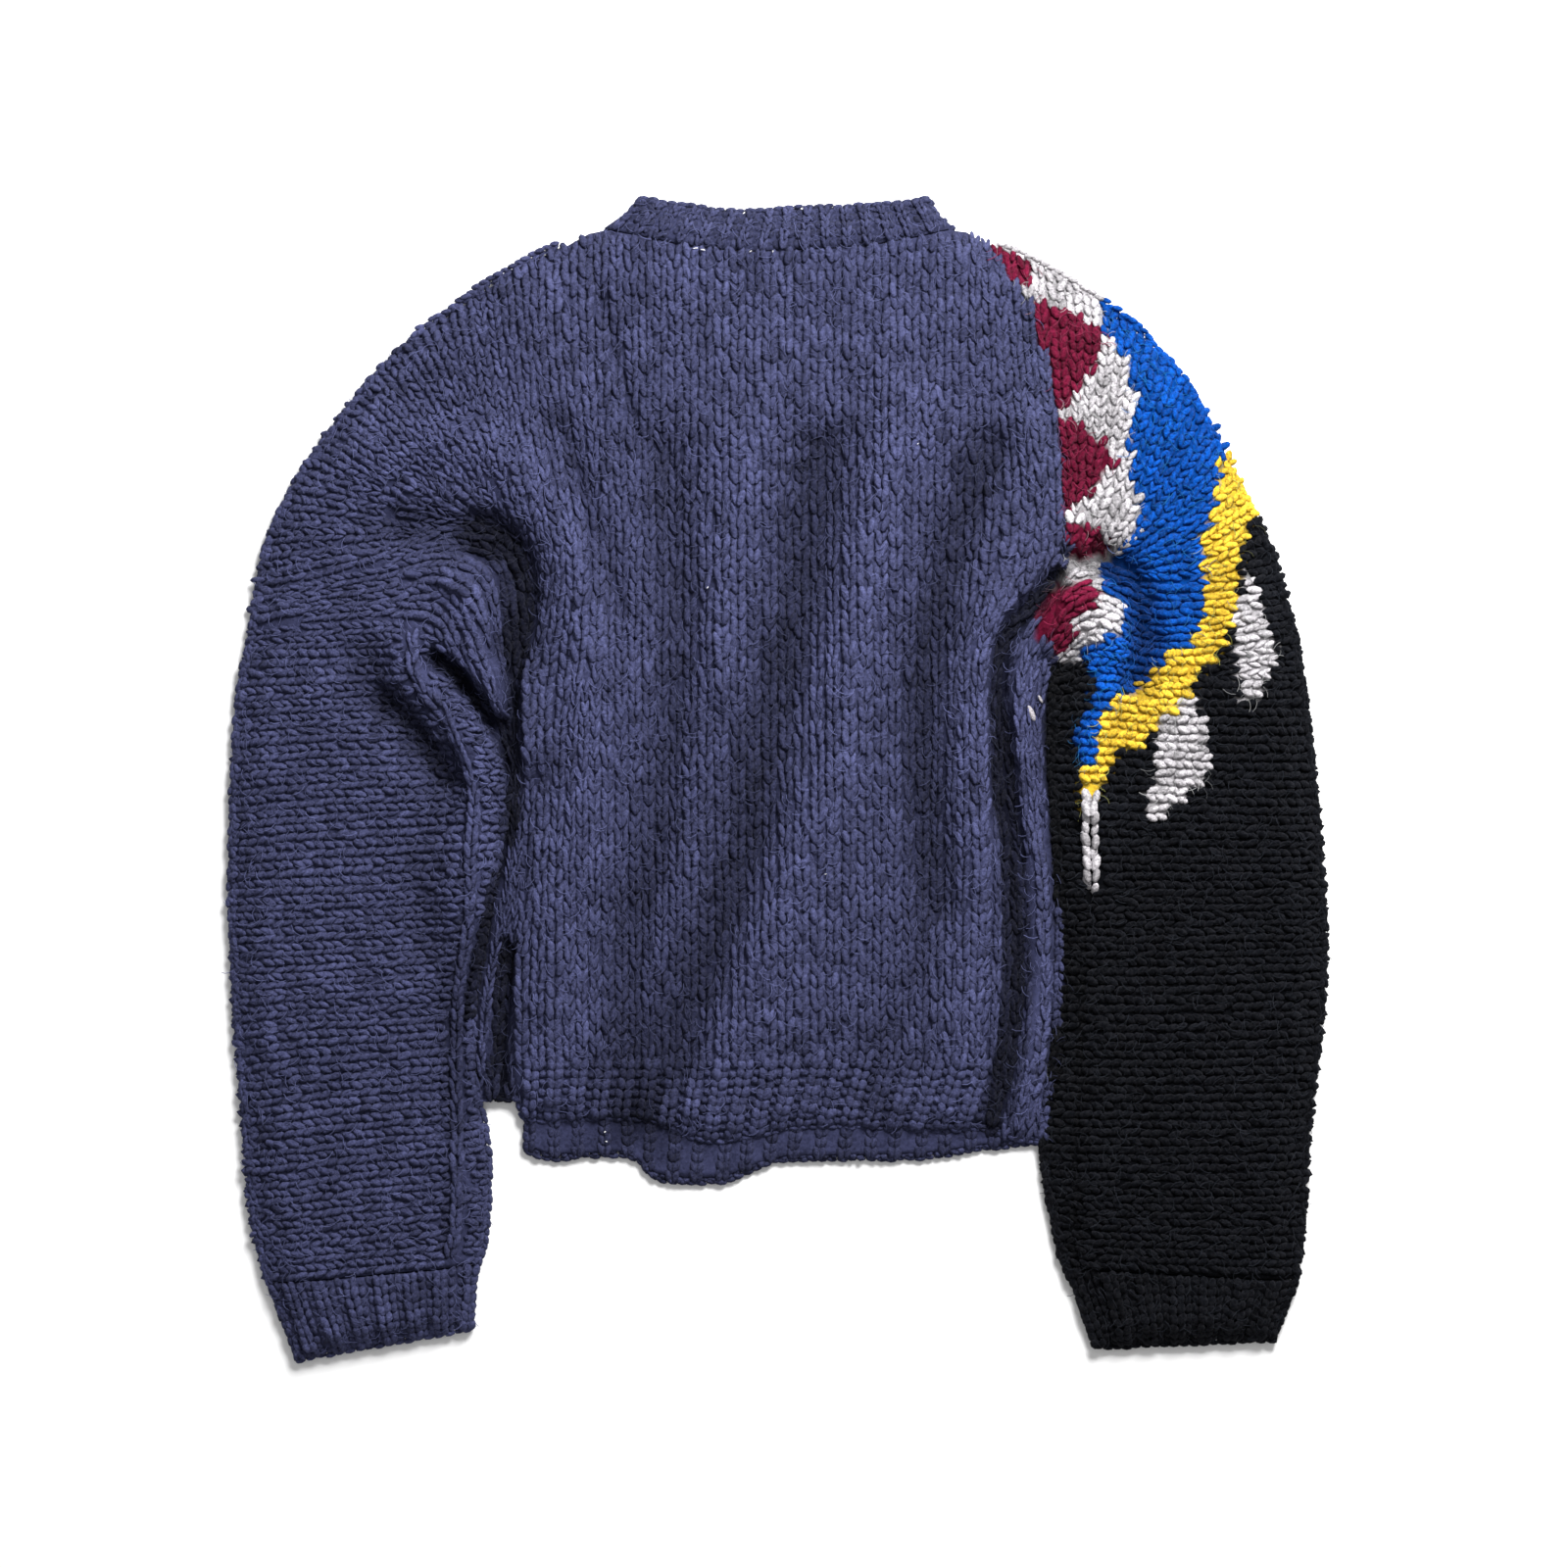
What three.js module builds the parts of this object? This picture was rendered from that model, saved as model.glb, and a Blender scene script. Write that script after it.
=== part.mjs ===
// A chunky hand-knitted wool sweater laid flat on its front, so its back faces up.
// Back and front are each one T-shaped knitted piece; both are split here where the
// sleeves begin. The front layer lies flat, the back layer lies on it with its folds.
// Millimetres, +X to the wearer's right, +Y to the neck, +Z up, underside at Z = 0.
import * as THREE from 'three';

// Driving sizes
const wall = 4.4; // one layer of the knit
const seamGap = 0.4; // clear space between two pieces at a seam
const ribGap = 1.4; // the same at the curved neck ribs
const frontTop = 4.6; // upper face of the front layer
const backFloor = frontTop + seamGap; // lowest face of the back layer
const flatTop = backFloor + wall; // upper face of the back layer where it lies flat
const hemRibTop = -180; // where the back hem rib begins
const frontHemRibTop = -201; // where the front hem rib begins
const bodyRows = 30; // steps down the side of the body
const lowerRows = 8; // steps from the hem down to the cuff
const bodyColumns = 28;
const sleeveColumns = 11;
const edgeRoll = 9; // how far in from a free edge the cloth has come down

const yarn = {
  slate: { color: 0x3f4361, roughness: 0.95, metalness: 0 },
  black: { color: 0x17181d, roughness: 0.95, metalness: 0 },
};

// Outlines in plan, shoulder to cuff; the right side is not the mirror of the left.
const sides = {
  left: {
    outer: [[-136, 338.2], [-158, 326], [-183, 311], [-224, 282], [-245, 266], [-277, 229],
      [-304, 190], [-324, 148], [-335, 89], [-343, 38], [-347, -64], [-343, -147],
      [-335, -243], [-330, -290], [-323, -318]],
    inner: [[-133, 336], [-148, 306], [-160, 268], [-169, 225], [-173, 185], [-168, 155],
      [-157, 132], [-151, 108], [-154, 84], [-163, 62], [-166, 29], [-164, -3], [-170, -25],
      [-178, -64], [-186, -116], [-190, -147], [-191, hemRibTop]],
    lower: [[-191, hemRibTop], [-187, -200], [-182, -230], [-181, -256], [-183, -290], [-188, -306]],
    cuffOuter: [[-323, -319], [-315, -336], [-304, -366]],
    cuffInner: [[-188, -307], [-192, -322], [-192, -346]],
  },
  right: {
    outer: [[136, 338.2], [163, 325], [208, 297], [247, 266], [263, 245], [284, 202],
      [308, 155], [326, 99], [336, 38], [344, -54], [347, -109], [343, -167], [336, -216],
      [333, -277], [329, -316]],
    inner: [[133, 336], [148, 310], [166, 275], [178, 225], [183, 175], [181, 135],
      [174, 105], [172, 70], [170, 21], [173, -25], [175, -89], [175, -127], [174, hemRibTop]],
    lower: [[174, hemRibTop], [173, -203], [168, -230], [168, -250], [171, -272], [176, -298],
      [181, -308]],
    cuffOuter: [[329, -317], [322, -335], [314, -353]],
    cuffInner: [[181, -309], [187, -324], [199, -358]],
  },
};

// Edges across the body, left to right
const neckSeam = [[-133, 336], [-119, 344], [-108, 346], [-92, 342], [-73, 338], [-56, 334],
  [-18, 331], [13, 332], [53, 334], [92, 341], [108, 346], [119, 345], [133, 336]];
const neckEdge = [[-88, 366], [-65, 362], [-45, 359], [-18, 357], [5, 359], [33, 360],
  [70, 362], [96, 366]];
const hemEdge = [[-192, -202], [-166, -202], [-160, -213], [-145, -215], [-95, -213],
  [-70, -218], [-46, -227], [-15, -225], [4, -220], [35, -218], [97, -221], [128, -220],
  [150, -226], [168, -229]];
const frontHemEdge = [[-160, -233], [-145, -239], [-95, -237], [-77, -251], [-58, -254],
  [-33, -253], [-14, -245], [4, -240], [66, -239], [97, -238], [128, -233], [165, -229]];
const frontNeckSeam = [[-111, 347], [-100, 322], [-82, 292], [-48, 269], [0, 262], [48, 269],
  [82, 292], [100, 322], [113, 347]];
const frontNeckEdge = [[-86, 364], [-78, 332], [-62, 306], [-36, 291], [0, 286], [36, 291],
  [62, 306], [78, 332], [93, 364]];

// Folds of the back layer: a path, the half width of its slope, its height (a trough is negative)
const folds = [
  // the body
  { path: [[-132, 214], [-101, 108]], half: 16, height: -3 },
  { path: [[-70, 207], [-55, 114], [-58, 28], [-83, -28], [-89, -84]], half: 14, height: -2.5 },
  { path: [[41, 207], [16, 127], [-8, 52], [-21, -22], [-39, -109], [-83, -202]], half: 15, height: -6 },
  { path: [[140, 207], [103, 139], [85, 77], [85, 3], [97, -72], [78, -152], [72, -202]], half: 14, height: -6 },
  { path: [[66, 226], [47, 114], [29, 28], [10, -59]], half: 16, height: 5 },
  { path: [[116, 77], [122, -183]], half: 15, height: 4 },
  { path: [[-138, 80], [-136, -190]], half: 20, height: 5 },
  // the right side: a rolled fold, the gap beside it and the side that lies beyond it
  { path: [[170, 128], [143, 92], [132, 58], [131, 25], [133, -35], [137, -89], [132, -200]], half: 11, height: 7 },
  { path: [[176, 128], [152, 88], [147, 28], [152, -59], [157, -121], [149, -183], [144, -215]], half: 7, height: -12 },
  // the left underarm: the hollow, its bright rim, the side band and the sleeve's edge
  { path: [[-213, 163], [-178, 155], [-158, 134], [-152, 108], [-163, 65], [-165, 29], [-162, -3],
    [-161, -65], [-160, -200]], half: 7, height: -12 },
  { path: [[-256, 195], [-200, 210], [-157, 189], [-126, 127], [-117, 83]], half: 17, height: 8 },
  { path: [[-227, 101], [-196, 112], [-182, 73], [-173, 40], [-168, 9]], half: 10, height: 8 },
  { path: [[-206, 86], [-203, 71], [-194, 57], [-178, 31], [-165, 0]], half: 6, height: -9 },
  { path: [[-225, 81], [-222, 59], [-205, 34], [-187, 3], [-182, -28], [-186, -65], [-193, -115]],
    half: 11, height: 8 },
  { path: [[-238, 28], [-207, -22]], half: 13, height: -4 },
  // the right underarm and sleeve
  { path: [[209, 145], [184, 127], [165, 96]], half: 8, height: -7 },
  { path: [[202, 121], [212, 90], [212, 46], [201, 6]], half: 10, height: 7 },
  { path: [[221, 127], [230, 102], [237, 77]], half: 9, height: -5 },
  { path: [[237, -41], [236, -127]], half: 10, height: -2.5 },
];
const airUnder = 3.4; // how far the back layer stands off the front layer away from its edges

function spaced(points, steps) {
  const curve = new THREE.SplineCurve(points.map(([x, y]) => new THREE.Vector2(x, y)));
  return curve.getSpacedPoints(steps);
}

function lerp2(a, b, t) {
  return new THREE.Vector2().lerpVectors(a, b, t);
}

// Height of an edge given by points whose X only grows
function edgeAt(points, x) {
  let i = 1;
  while (i < points.length - 1 && points[i][0] < x) i += 1;
  const [x0, y0] = points[i - 1];
  const [x1, y1] = points[i];
  const t = THREE.MathUtils.clamp((x - x0) / (x1 - x0), 0, 1);
  return y0 + (y1 - y0) * t;
}

// X of a sleeve's inner edge beside the hems
function sleeveBeside(sideName, y) {
  return edgeAt(sides[sideName].lower.map(([px, py]) => [-py, px]), -y);
}

function distanceToPath(path, p) {
  const a = new THREE.Vector3();
  const b = new THREE.Vector3();
  const near = new THREE.Vector3();
  const here = new THREE.Vector3(p.x, p.y, 0);
  let best = Infinity;
  for (let i = 1; i < path.length; i += 1) {
    a.set(path[i - 1][0], path[i - 1][1], 0);
    b.set(path[i][0], path[i][1], 0);
    new THREE.Line3(a, b).closestPointToPoint(here, true, near);
    best = Math.min(best, near.distanceTo(here));
  }
  return best;
}

// Upper face of the back layer; edge is the distance to the nearest free edge
function backHeight(p, edge) {
  const inFromEdge = THREE.MathUtils.smoothstep(edge, 0, 3 * edgeRoll);
  let lift = airUnder;
  for (const fold of folds) {
    const d = distanceToPath(fold.path, p) / fold.half;
    lift += fold.height * Math.exp(-d * d);
  }
  const edgeTop = backFloor + wall * 0.75;
  const roll = THREE.MathUtils.smoothstep(edge, 0, edgeRoll);
  return THREE.MathUtils.lerp(edgeTop, flatTop, roll) + Math.max(lift, 0.2) * inFromEdge;
}

// Columns closer together near both sides, for the folds that lie there
function acrossBody(t) {
  return t - 0.075 * Math.sin(2 * Math.PI * t);
}

// A closed wall over a grid of plan points. Rows run away from the neck and columns
// towards +X; upper and lower give the two faces at a row and column.
function wallOverGrid(grid, upper, lower) {
  const rows = grid.length;
  const columns = grid[0].length;
  const positions = [];
  for (const height of [upper, lower]) {
    grid.forEach((row, r) => row.forEach((p, c) => positions.push(p.x, p.y, height(p, r, c))));
  }
  const faces = [];
  const at = (layer, r, c) => layer * rows * columns + r * columns + c;
  const quad = (a, b, c, d) => faces.push(a, b, c, a, c, d);
  for (let r = 0; r + 1 < rows; r += 1) {
    for (let c = 0; c + 1 < columns; c += 1) {
      quad(at(0, r, c), at(0, r + 1, c), at(0, r + 1, c + 1), at(0, r, c + 1));
      quad(at(1, r, c), at(1, r, c + 1), at(1, r + 1, c + 1), at(1, r + 1, c));
    }
  }
  for (let r = 0; r + 1 < rows; r += 1) {
    const last = columns - 1;
    quad(at(0, r, 0), at(1, r, 0), at(1, r + 1, 0), at(0, r + 1, 0));
    quad(at(0, r, last), at(0, r + 1, last), at(1, r + 1, last), at(1, r, last));
  }
  for (let c = 0; c + 1 < columns; c += 1) {
    const last = rows - 1;
    quad(at(0, 0, c), at(0, 0, c + 1), at(1, 0, c + 1), at(1, 0, c));
    quad(at(0, last, c), at(1, last, c), at(1, last, c + 1), at(0, last, c + 1));
  }
  const geometry = new THREE.BufferGeometry();
  geometry.setAttribute('position', new THREE.Float32BufferAttribute(positions, 3));
  geometry.setIndex(faces);
  return geometry;
}

// A flat layer on the table, from its outline in plan
function flatLayer(outline) {
  const shape = new THREE.Shape(outline);
  return new THREE.ExtrudeGeometry(shape, { depth: frontTop, bevelEnabled: false });
}

const group = new THREE.Group();

function addPiece(name, geometry, finish) {
  const piece = new THREE.Mesh(geometry, new THREE.MeshStandardMaterial(finish));
  piece.name = name;
  group.add(piece);
}

// Where a sleeve meets the body, and the sleeve's two edges, in matching steps
function sleeveLines(side) {
  const upper = spaced(side.inner, bodyRows);
  const lower = spaced(side.lower, lowerRows);
  return { inner: [...upper, ...lower.slice(1)], outer: spaced(side.outer, bodyRows + lowerRows) };
}

const lines = { left: sleeveLines(sides.left), right: sleeveLines(sides.right) };

// Each sleeve piece keeps the seam gap from the body on its inner line
function sleeveGrid(sideName) {
  const { inner, outer } = lines[sideName];
  const sign = sideName === 'left' ? -1 : 1;
  return inner.map((p, k) => {
    const start = new THREE.Vector2(p.x + sign * seamGap, p.y);
    const row = [];
    for (let c = 0; c <= sleeveColumns; c += 1) {
      row.push(lerp2(start, outer[k], c / sleeveColumns));
    }
    return sideName === 'left' ? row.reverse() : row;
  });
}

function addSleeve(sideName, finish) {
  const grid = sleeveGrid(sideName);
  const outerColumn = sideName === 'left' ? 0 : sleeveColumns;
  const innerColumn = sleeveColumns - outerColumn;
  const edgeOf = (p, r) => {
    const toOuter = p.distanceTo(grid[r][outerColumn]);
    const toInner = r > bodyRows ? p.distanceTo(grid[r][innerColumn]) : Infinity;
    return Math.min(toOuter, toInner);
  };
  const upper = (p, r) => backHeight(p, edgeOf(p, r));
  const lower = (p, r) => Math.max(backFloor, upper(p, r) - wall);
  addPiece(`back_sleeve_${sideName}`, wallOverGrid(grid, upper, lower), finish);
  const outline = grid.map((row) => row[0]);
  outline.push(...grid.map((row) => row[sleeveColumns]).reverse());
  addPiece(`front_sleeve_${sideName}`, flatLayer(outline), finish);
}

// The back of the body, between the two sleeves, from the neck seam to the hem rib
function bodyRow(k, columns = bodyColumns) {
  const left = lines.left.inner[k];
  const right = lines.right.inner[k];
  const neckShare = Math.max(0, 1 - k / 7);
  const row = [];
  for (let c = 0; c <= columns; c += 1) {
    const p = lerp2(left, right, acrossBody(c / columns));
    p.y += neckShare * (edgeAt(neckSeam, p.x) - neckSeam[0][1]);
    row.push(p);
  }
  return row;
}

function addBack() {
  const grid = [];
  for (let k = 0; k <= bodyRows; k += 1) grid.push(bodyRow(k));
  const upper = (p) => backHeight(p, Infinity);
  const lower = (p) => upper(p) - wall;
  addPiece('back_body', wallOverGrid(grid, upper, lower), yarn.slate);
}

// The hem rib hangs from the last row of the body
function addBackHem() {
  const top = bodyRow(bodyRows);
  const ribRows = 3;
  const grid = [];
  for (let r = 0; r <= ribRows; r += 1) {
    grid.push(top.map((p) => {
      const y = THREE.MathUtils.lerp(p.y - seamGap, edgeAt(hemEdge, p.x), r / ribRows);
      const low = sleeveBeside('left', y) + ribGap;
      const high = sleeveBeside('right', y) - ribGap;
      return new THREE.Vector2(THREE.MathUtils.clamp(p.x, low, high), y);
    }));
  }
  const upper = (p) => backHeight(p, Infinity) - 1.5 * THREE.MathUtils.smoothstep(-p.y, 180, 220);
  const lower = (p) => Math.max(backFloor, upper(p) - wall);
  addPiece('hem_rib_back', wallOverGrid(grid, upper, lower), yarn.slate);
}

// A rib as a strip between two matching edges, flat or lying on the back of the neck
function ribStrip(first, second, steps, upper, lower) {
  const one = spaced(first, steps);
  const two = spaced(second, steps);
  const grid = [0, 0.5, 1].map((t) => one.map((p, i) => lerp2(p, two[i], t)));
  return wallOverGrid(grid, upper, lower);
}

function addNeck() {
  const seam = neckSeam.slice(2, -2).map(([x, y]) => [x, y + ribGap]);
  const ribTop = flatTop + 3;
  const upper = () => ribTop;
  const lower = () => backFloor;
  addPiece('neck_rib_back', ribStrip(neckEdge, seam, 20, upper, lower), yarn.slate);
  const frontSeam = frontNeckSeam.map(([x, y]) => [x * 0.985, y + ribGap]);
  addPiece('neck_rib_front', ribStrip(frontNeckEdge, frontSeam, 20, () => frontTop, () => 0), yarn.slate);
}

// The front of the body lies under the back, with its deeper neckline
function addFront() {
  const left = lines.left.inner.slice(0, bodyRows + 1);
  const right = lines.right.inner.slice(0, bodyRows + 1).reverse();
  const outline = [...left];
  const hemLine = frontHemRibTop + seamGap;
  outline.push(new THREE.Vector2(sleeveBeside('left', hemLine) + ribGap, hemLine));
  outline.push(new THREE.Vector2(sleeveBeside('right', hemLine) - ribGap, hemLine));
  outline.push(...right, new THREE.Vector2(120, 345));
  outline.push(...spaced(frontNeckSeam, 20).reverse(), new THREE.Vector2(-119, 344));
  addPiece('front_body', flatLayer(outline), yarn.slate);
  const hem = [new THREE.Vector2(-160, frontHemRibTop)];
  hem.push(...frontHemEdge.map(([x, y]) => new THREE.Vector2(x, y)));
  hem.push(new THREE.Vector2(171, frontHemRibTop));
  addPiece('hem_rib_front', flatLayer(hem), yarn.slate);
}

// A cuff is a flattened tube: rings from its two edges, each ring a loop round the section
function cuffLoop(a, b, inset, low, high) {
  const width = a.distanceTo(b);
  const round = (high - low) / 2;
  const section = [];
  const ends = [[inset, -1], [width - inset, 1]];
  for (const [x, sign] of [ends[0], ends[1]]) {
    for (let i = 0; i <= 4; i += 1) {
      const angle = (Math.PI * i) / 4;
      const z = low + round - sign * round * Math.cos(angle);
      section.push([x + sign * (Math.sin(angle) - 1) * round, z]);
    }
  }
  return section.map(([s, z]) => {
    const p = lerp2(a, b, s / width);
    return new THREE.Vector3(p.x, p.y, z);
  });
}

function addCuff(sideName, finish) {
  const { cuffOuter, cuffInner } = sides[sideName];
  const steps = 4;
  const high = flatTop + 1.5;
  let one = spaced(cuffOuter, steps);
  let two = spaced(cuffInner, steps);
  if (sideName === 'right') [one, two] = [two, one];
  const positions = [];
  let loopSize = 0;
  for (const [inset, low, top] of [[0, 0, high], [wall, frontTop, high - wall]]) {
    one.forEach((p, k) => {
      const loop = cuffLoop(p, two[k], inset, low, top);
      loopSize = loop.length;
      loop.forEach((v) => positions.push(v.x, v.y, v.z));
    });
  }
  const faces = [];
  const shell = (steps + 1) * loopSize;
  const at = (layer, k, i) => layer * shell + k * loopSize + (i % loopSize);
  const quad = (a, b, c, d) => faces.push(a, b, c, a, c, d);
  for (let i = 0; i < loopSize; i += 1) {
    for (let k = 0; k < steps; k += 1) {
      quad(at(0, k, i), at(0, k, i + 1), at(0, k + 1, i + 1), at(0, k + 1, i));
      quad(at(1, k, i), at(1, k + 1, i), at(1, k + 1, i + 1), at(1, k, i + 1));
    }
    quad(at(0, 0, i), at(1, 0, i), at(1, 0, i + 1), at(0, 0, i + 1));
    quad(at(0, steps, i), at(0, steps, i + 1), at(1, steps, i + 1), at(1, steps, i));
  }
  const geometry = new THREE.BufferGeometry();
  geometry.setAttribute('position', new THREE.Float32BufferAttribute(positions, 3));
  geometry.setIndex(faces);
  addPiece(`cuff_${sideName}`, geometry, finish);
}

addBack();
addBackHem();
addNeck();
addFront();
addSleeve('left', yarn.slate);
addSleeve('right', yarn.black);
addCuff('left', yarn.slate);
addCuff('right', yarn.black);

export default group;
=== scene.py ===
import bpy
import numpy as np
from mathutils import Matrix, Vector


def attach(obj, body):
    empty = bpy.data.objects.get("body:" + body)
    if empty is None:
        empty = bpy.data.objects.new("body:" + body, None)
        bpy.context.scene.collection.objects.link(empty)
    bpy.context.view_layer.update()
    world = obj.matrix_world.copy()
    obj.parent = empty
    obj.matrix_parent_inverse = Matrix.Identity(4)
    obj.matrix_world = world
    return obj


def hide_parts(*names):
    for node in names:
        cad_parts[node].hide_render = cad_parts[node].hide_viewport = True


# A chunky hand-knitted sweater laid flat with its back up. Everything below is in
# millimetres until a mesh is made; +X is the wearer's right, +Y the neck, +Z up.
mm = 0.001
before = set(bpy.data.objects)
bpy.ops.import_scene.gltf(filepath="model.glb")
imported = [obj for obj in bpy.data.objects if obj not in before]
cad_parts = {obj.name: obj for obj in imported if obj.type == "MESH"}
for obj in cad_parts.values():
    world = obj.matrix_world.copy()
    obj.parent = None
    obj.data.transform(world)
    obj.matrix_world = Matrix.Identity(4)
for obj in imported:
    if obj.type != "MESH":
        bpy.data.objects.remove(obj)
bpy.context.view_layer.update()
print("frame loaded:", len(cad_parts), "nodes")

cloth = {
    "wall": 3.0,        # the knit without its stitches standing proud
    "seamHeight": 4.9,  # where back and front layers meet at a free edge
    "flatTop": 9.4,     # the back layer where it lies flat
    "air": 9.0,         # how far it stands off the front layer inside its edges
    "deepest": -2.2,    # the bottom of the deepest fold, against the flat layer
    "edgeRoll": 9.0,    # radius of a rolled free edge
    "paintedShade": 0.048,      # painted shade: how much darker the wool is coloured for each millimetre down a fold
    "inset": 2.0,       # how far the sheets stop short of the free edges, under the stitches
    "sag": 1.5,         # how far the flat layer sinks between its folds
    "rise": 26.0,       # how far in from an edge the cloth is at its full height
    "seamDeep": 2.6,    # how far a sewn join sinks, over what half width, and how much darker it is coloured
    "seamHalf": 3.0,
    "seamDarkening": 0.55,
    "hemFlat": 0.6,     # share of its lift that the body loses on its way down to the hem, and where
    "hemFrom": 140,
    "hemTo": 212,
    "hemReach": 172,
    "underRoll": 7.0,   # the front layer's edges, its outer side's height and its hem's inner side's
    "underZ": 1.5,
    "hemInsideZ": 2.4,
    "backFloor": 4.75,  # the back layer stays above this, the front layer below
    "frontCeiling": 4.6,
    "steep": -15,       # a trough deeper than this has steep walls
}

yarns = {
    "slate": (0.043, 0.047, 0.105),
    "black": (0.0026, 0.0030, 0.0044),
    "blue": (0.001, 0.056, 0.30),
    "yellow": (0.67, 0.43, 0.034),
    "burgundy": (0.108, 0.0045, 0.022),
    "white": (0.44, 0.42, 0.44),
}

# outlines in plan, shoulder to cuff
leftOuter = [(-136, 338), (-158, 326), (-183, 311), (-224, 282), (-245, 266), (-277, 229), (-304, 190),
             (-324, 148), (-335, 89), (-343, 38), (-347, -64), (-343, -147), (-335, -243), (-330, -290),
             (-323, -318)]
leftInner = [(-133, 336), (-148, 306), (-160, 268), (-169, 225), (-173, 185), (-168, 155), (-157, 132),
             (-151, 108), (-154, 84), (-163, 62), (-166, 29), (-164, -3), (-170, -25), (-178, -64),
             (-186, -116), (-190, -147), (-191, -180)]
leftLower = [(-191, -180), (-187, -200), (-182, -230), (-181, -256), (-183, -290), (-188, -306)]
rightOuter = [(136, 338), (163, 325), (208, 297), (247, 266), (263, 245), (284, 202), (308, 155),
              (326, 99), (336, 38), (344, -54), (347, -109), (343, -167), (336, -216), (333, -277),
              (329, -316)]
rightInner = [(133, 336), (148, 310), (166, 275), (178, 225), (183, 175), (181, 135), (174, 105),
              (172, 70), (170, 21), (173, -25), (175, -89), (175, -127), (172, -180)]
rightLower = [(172, -180), (168, -203), (165, -230), (167, -250), (171, -272), (176, -298), (181, -308)]
neckSeam = [(-133, 336), (-119, 344), (-108, 346), (-92, 342), (-73, 338), (-56, 334), (-18, 331),
            (13, 332), (53, 334), (92, 341), (108, 346), (119, 345), (133, 336)]
neckEdge = [(-88, 366), (-65, 362), (-45, 359), (-18, 357), (5, 359), (33, 360), (70, 362), (96, 366)]
hemEdge = [(-192, -202), (-166, -202), (-160, -213), (-145, -215), (-95, -213), (-70, -218), (-46, -227),
           (-15, -225), (4, -220), (35, -218), (97, -221), (128, -220), (150, -226), (168, -229)]
frontHemEdge = [(-160, -233), (-145, -239), (-95, -237), (-77, -251), (-58, -254), (-33, -253),
                (-14, -245), (4, -240), (66, -239), (97, -238), (128, -233), (165, -229)]
frontNeckSeam = [(-111, 347), (-100, 322), (-82, 292), (-48, 269), (0, 262), (48, 269), (82, 292),
                 (100, 322), (113, 347)]
frontNeckEdge = [(-86, 364), (-78, 332), (-62, 306), (-36, 291), (0, 286), (36, 291), (62, 306),
                 (78, 332), (93, 364)]
leftCuff = {"outer": [(-323, -319), (-315, -336), (-304, -366)],
            "inner": [(-188, -307), (-192, -322), (-192, -346)]}
rightCuff = {"outer": [(329, -317), (322, -335), (314, -353)],
             "inner": [(181, -309), (187, -324), (199, -358)]}

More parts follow.
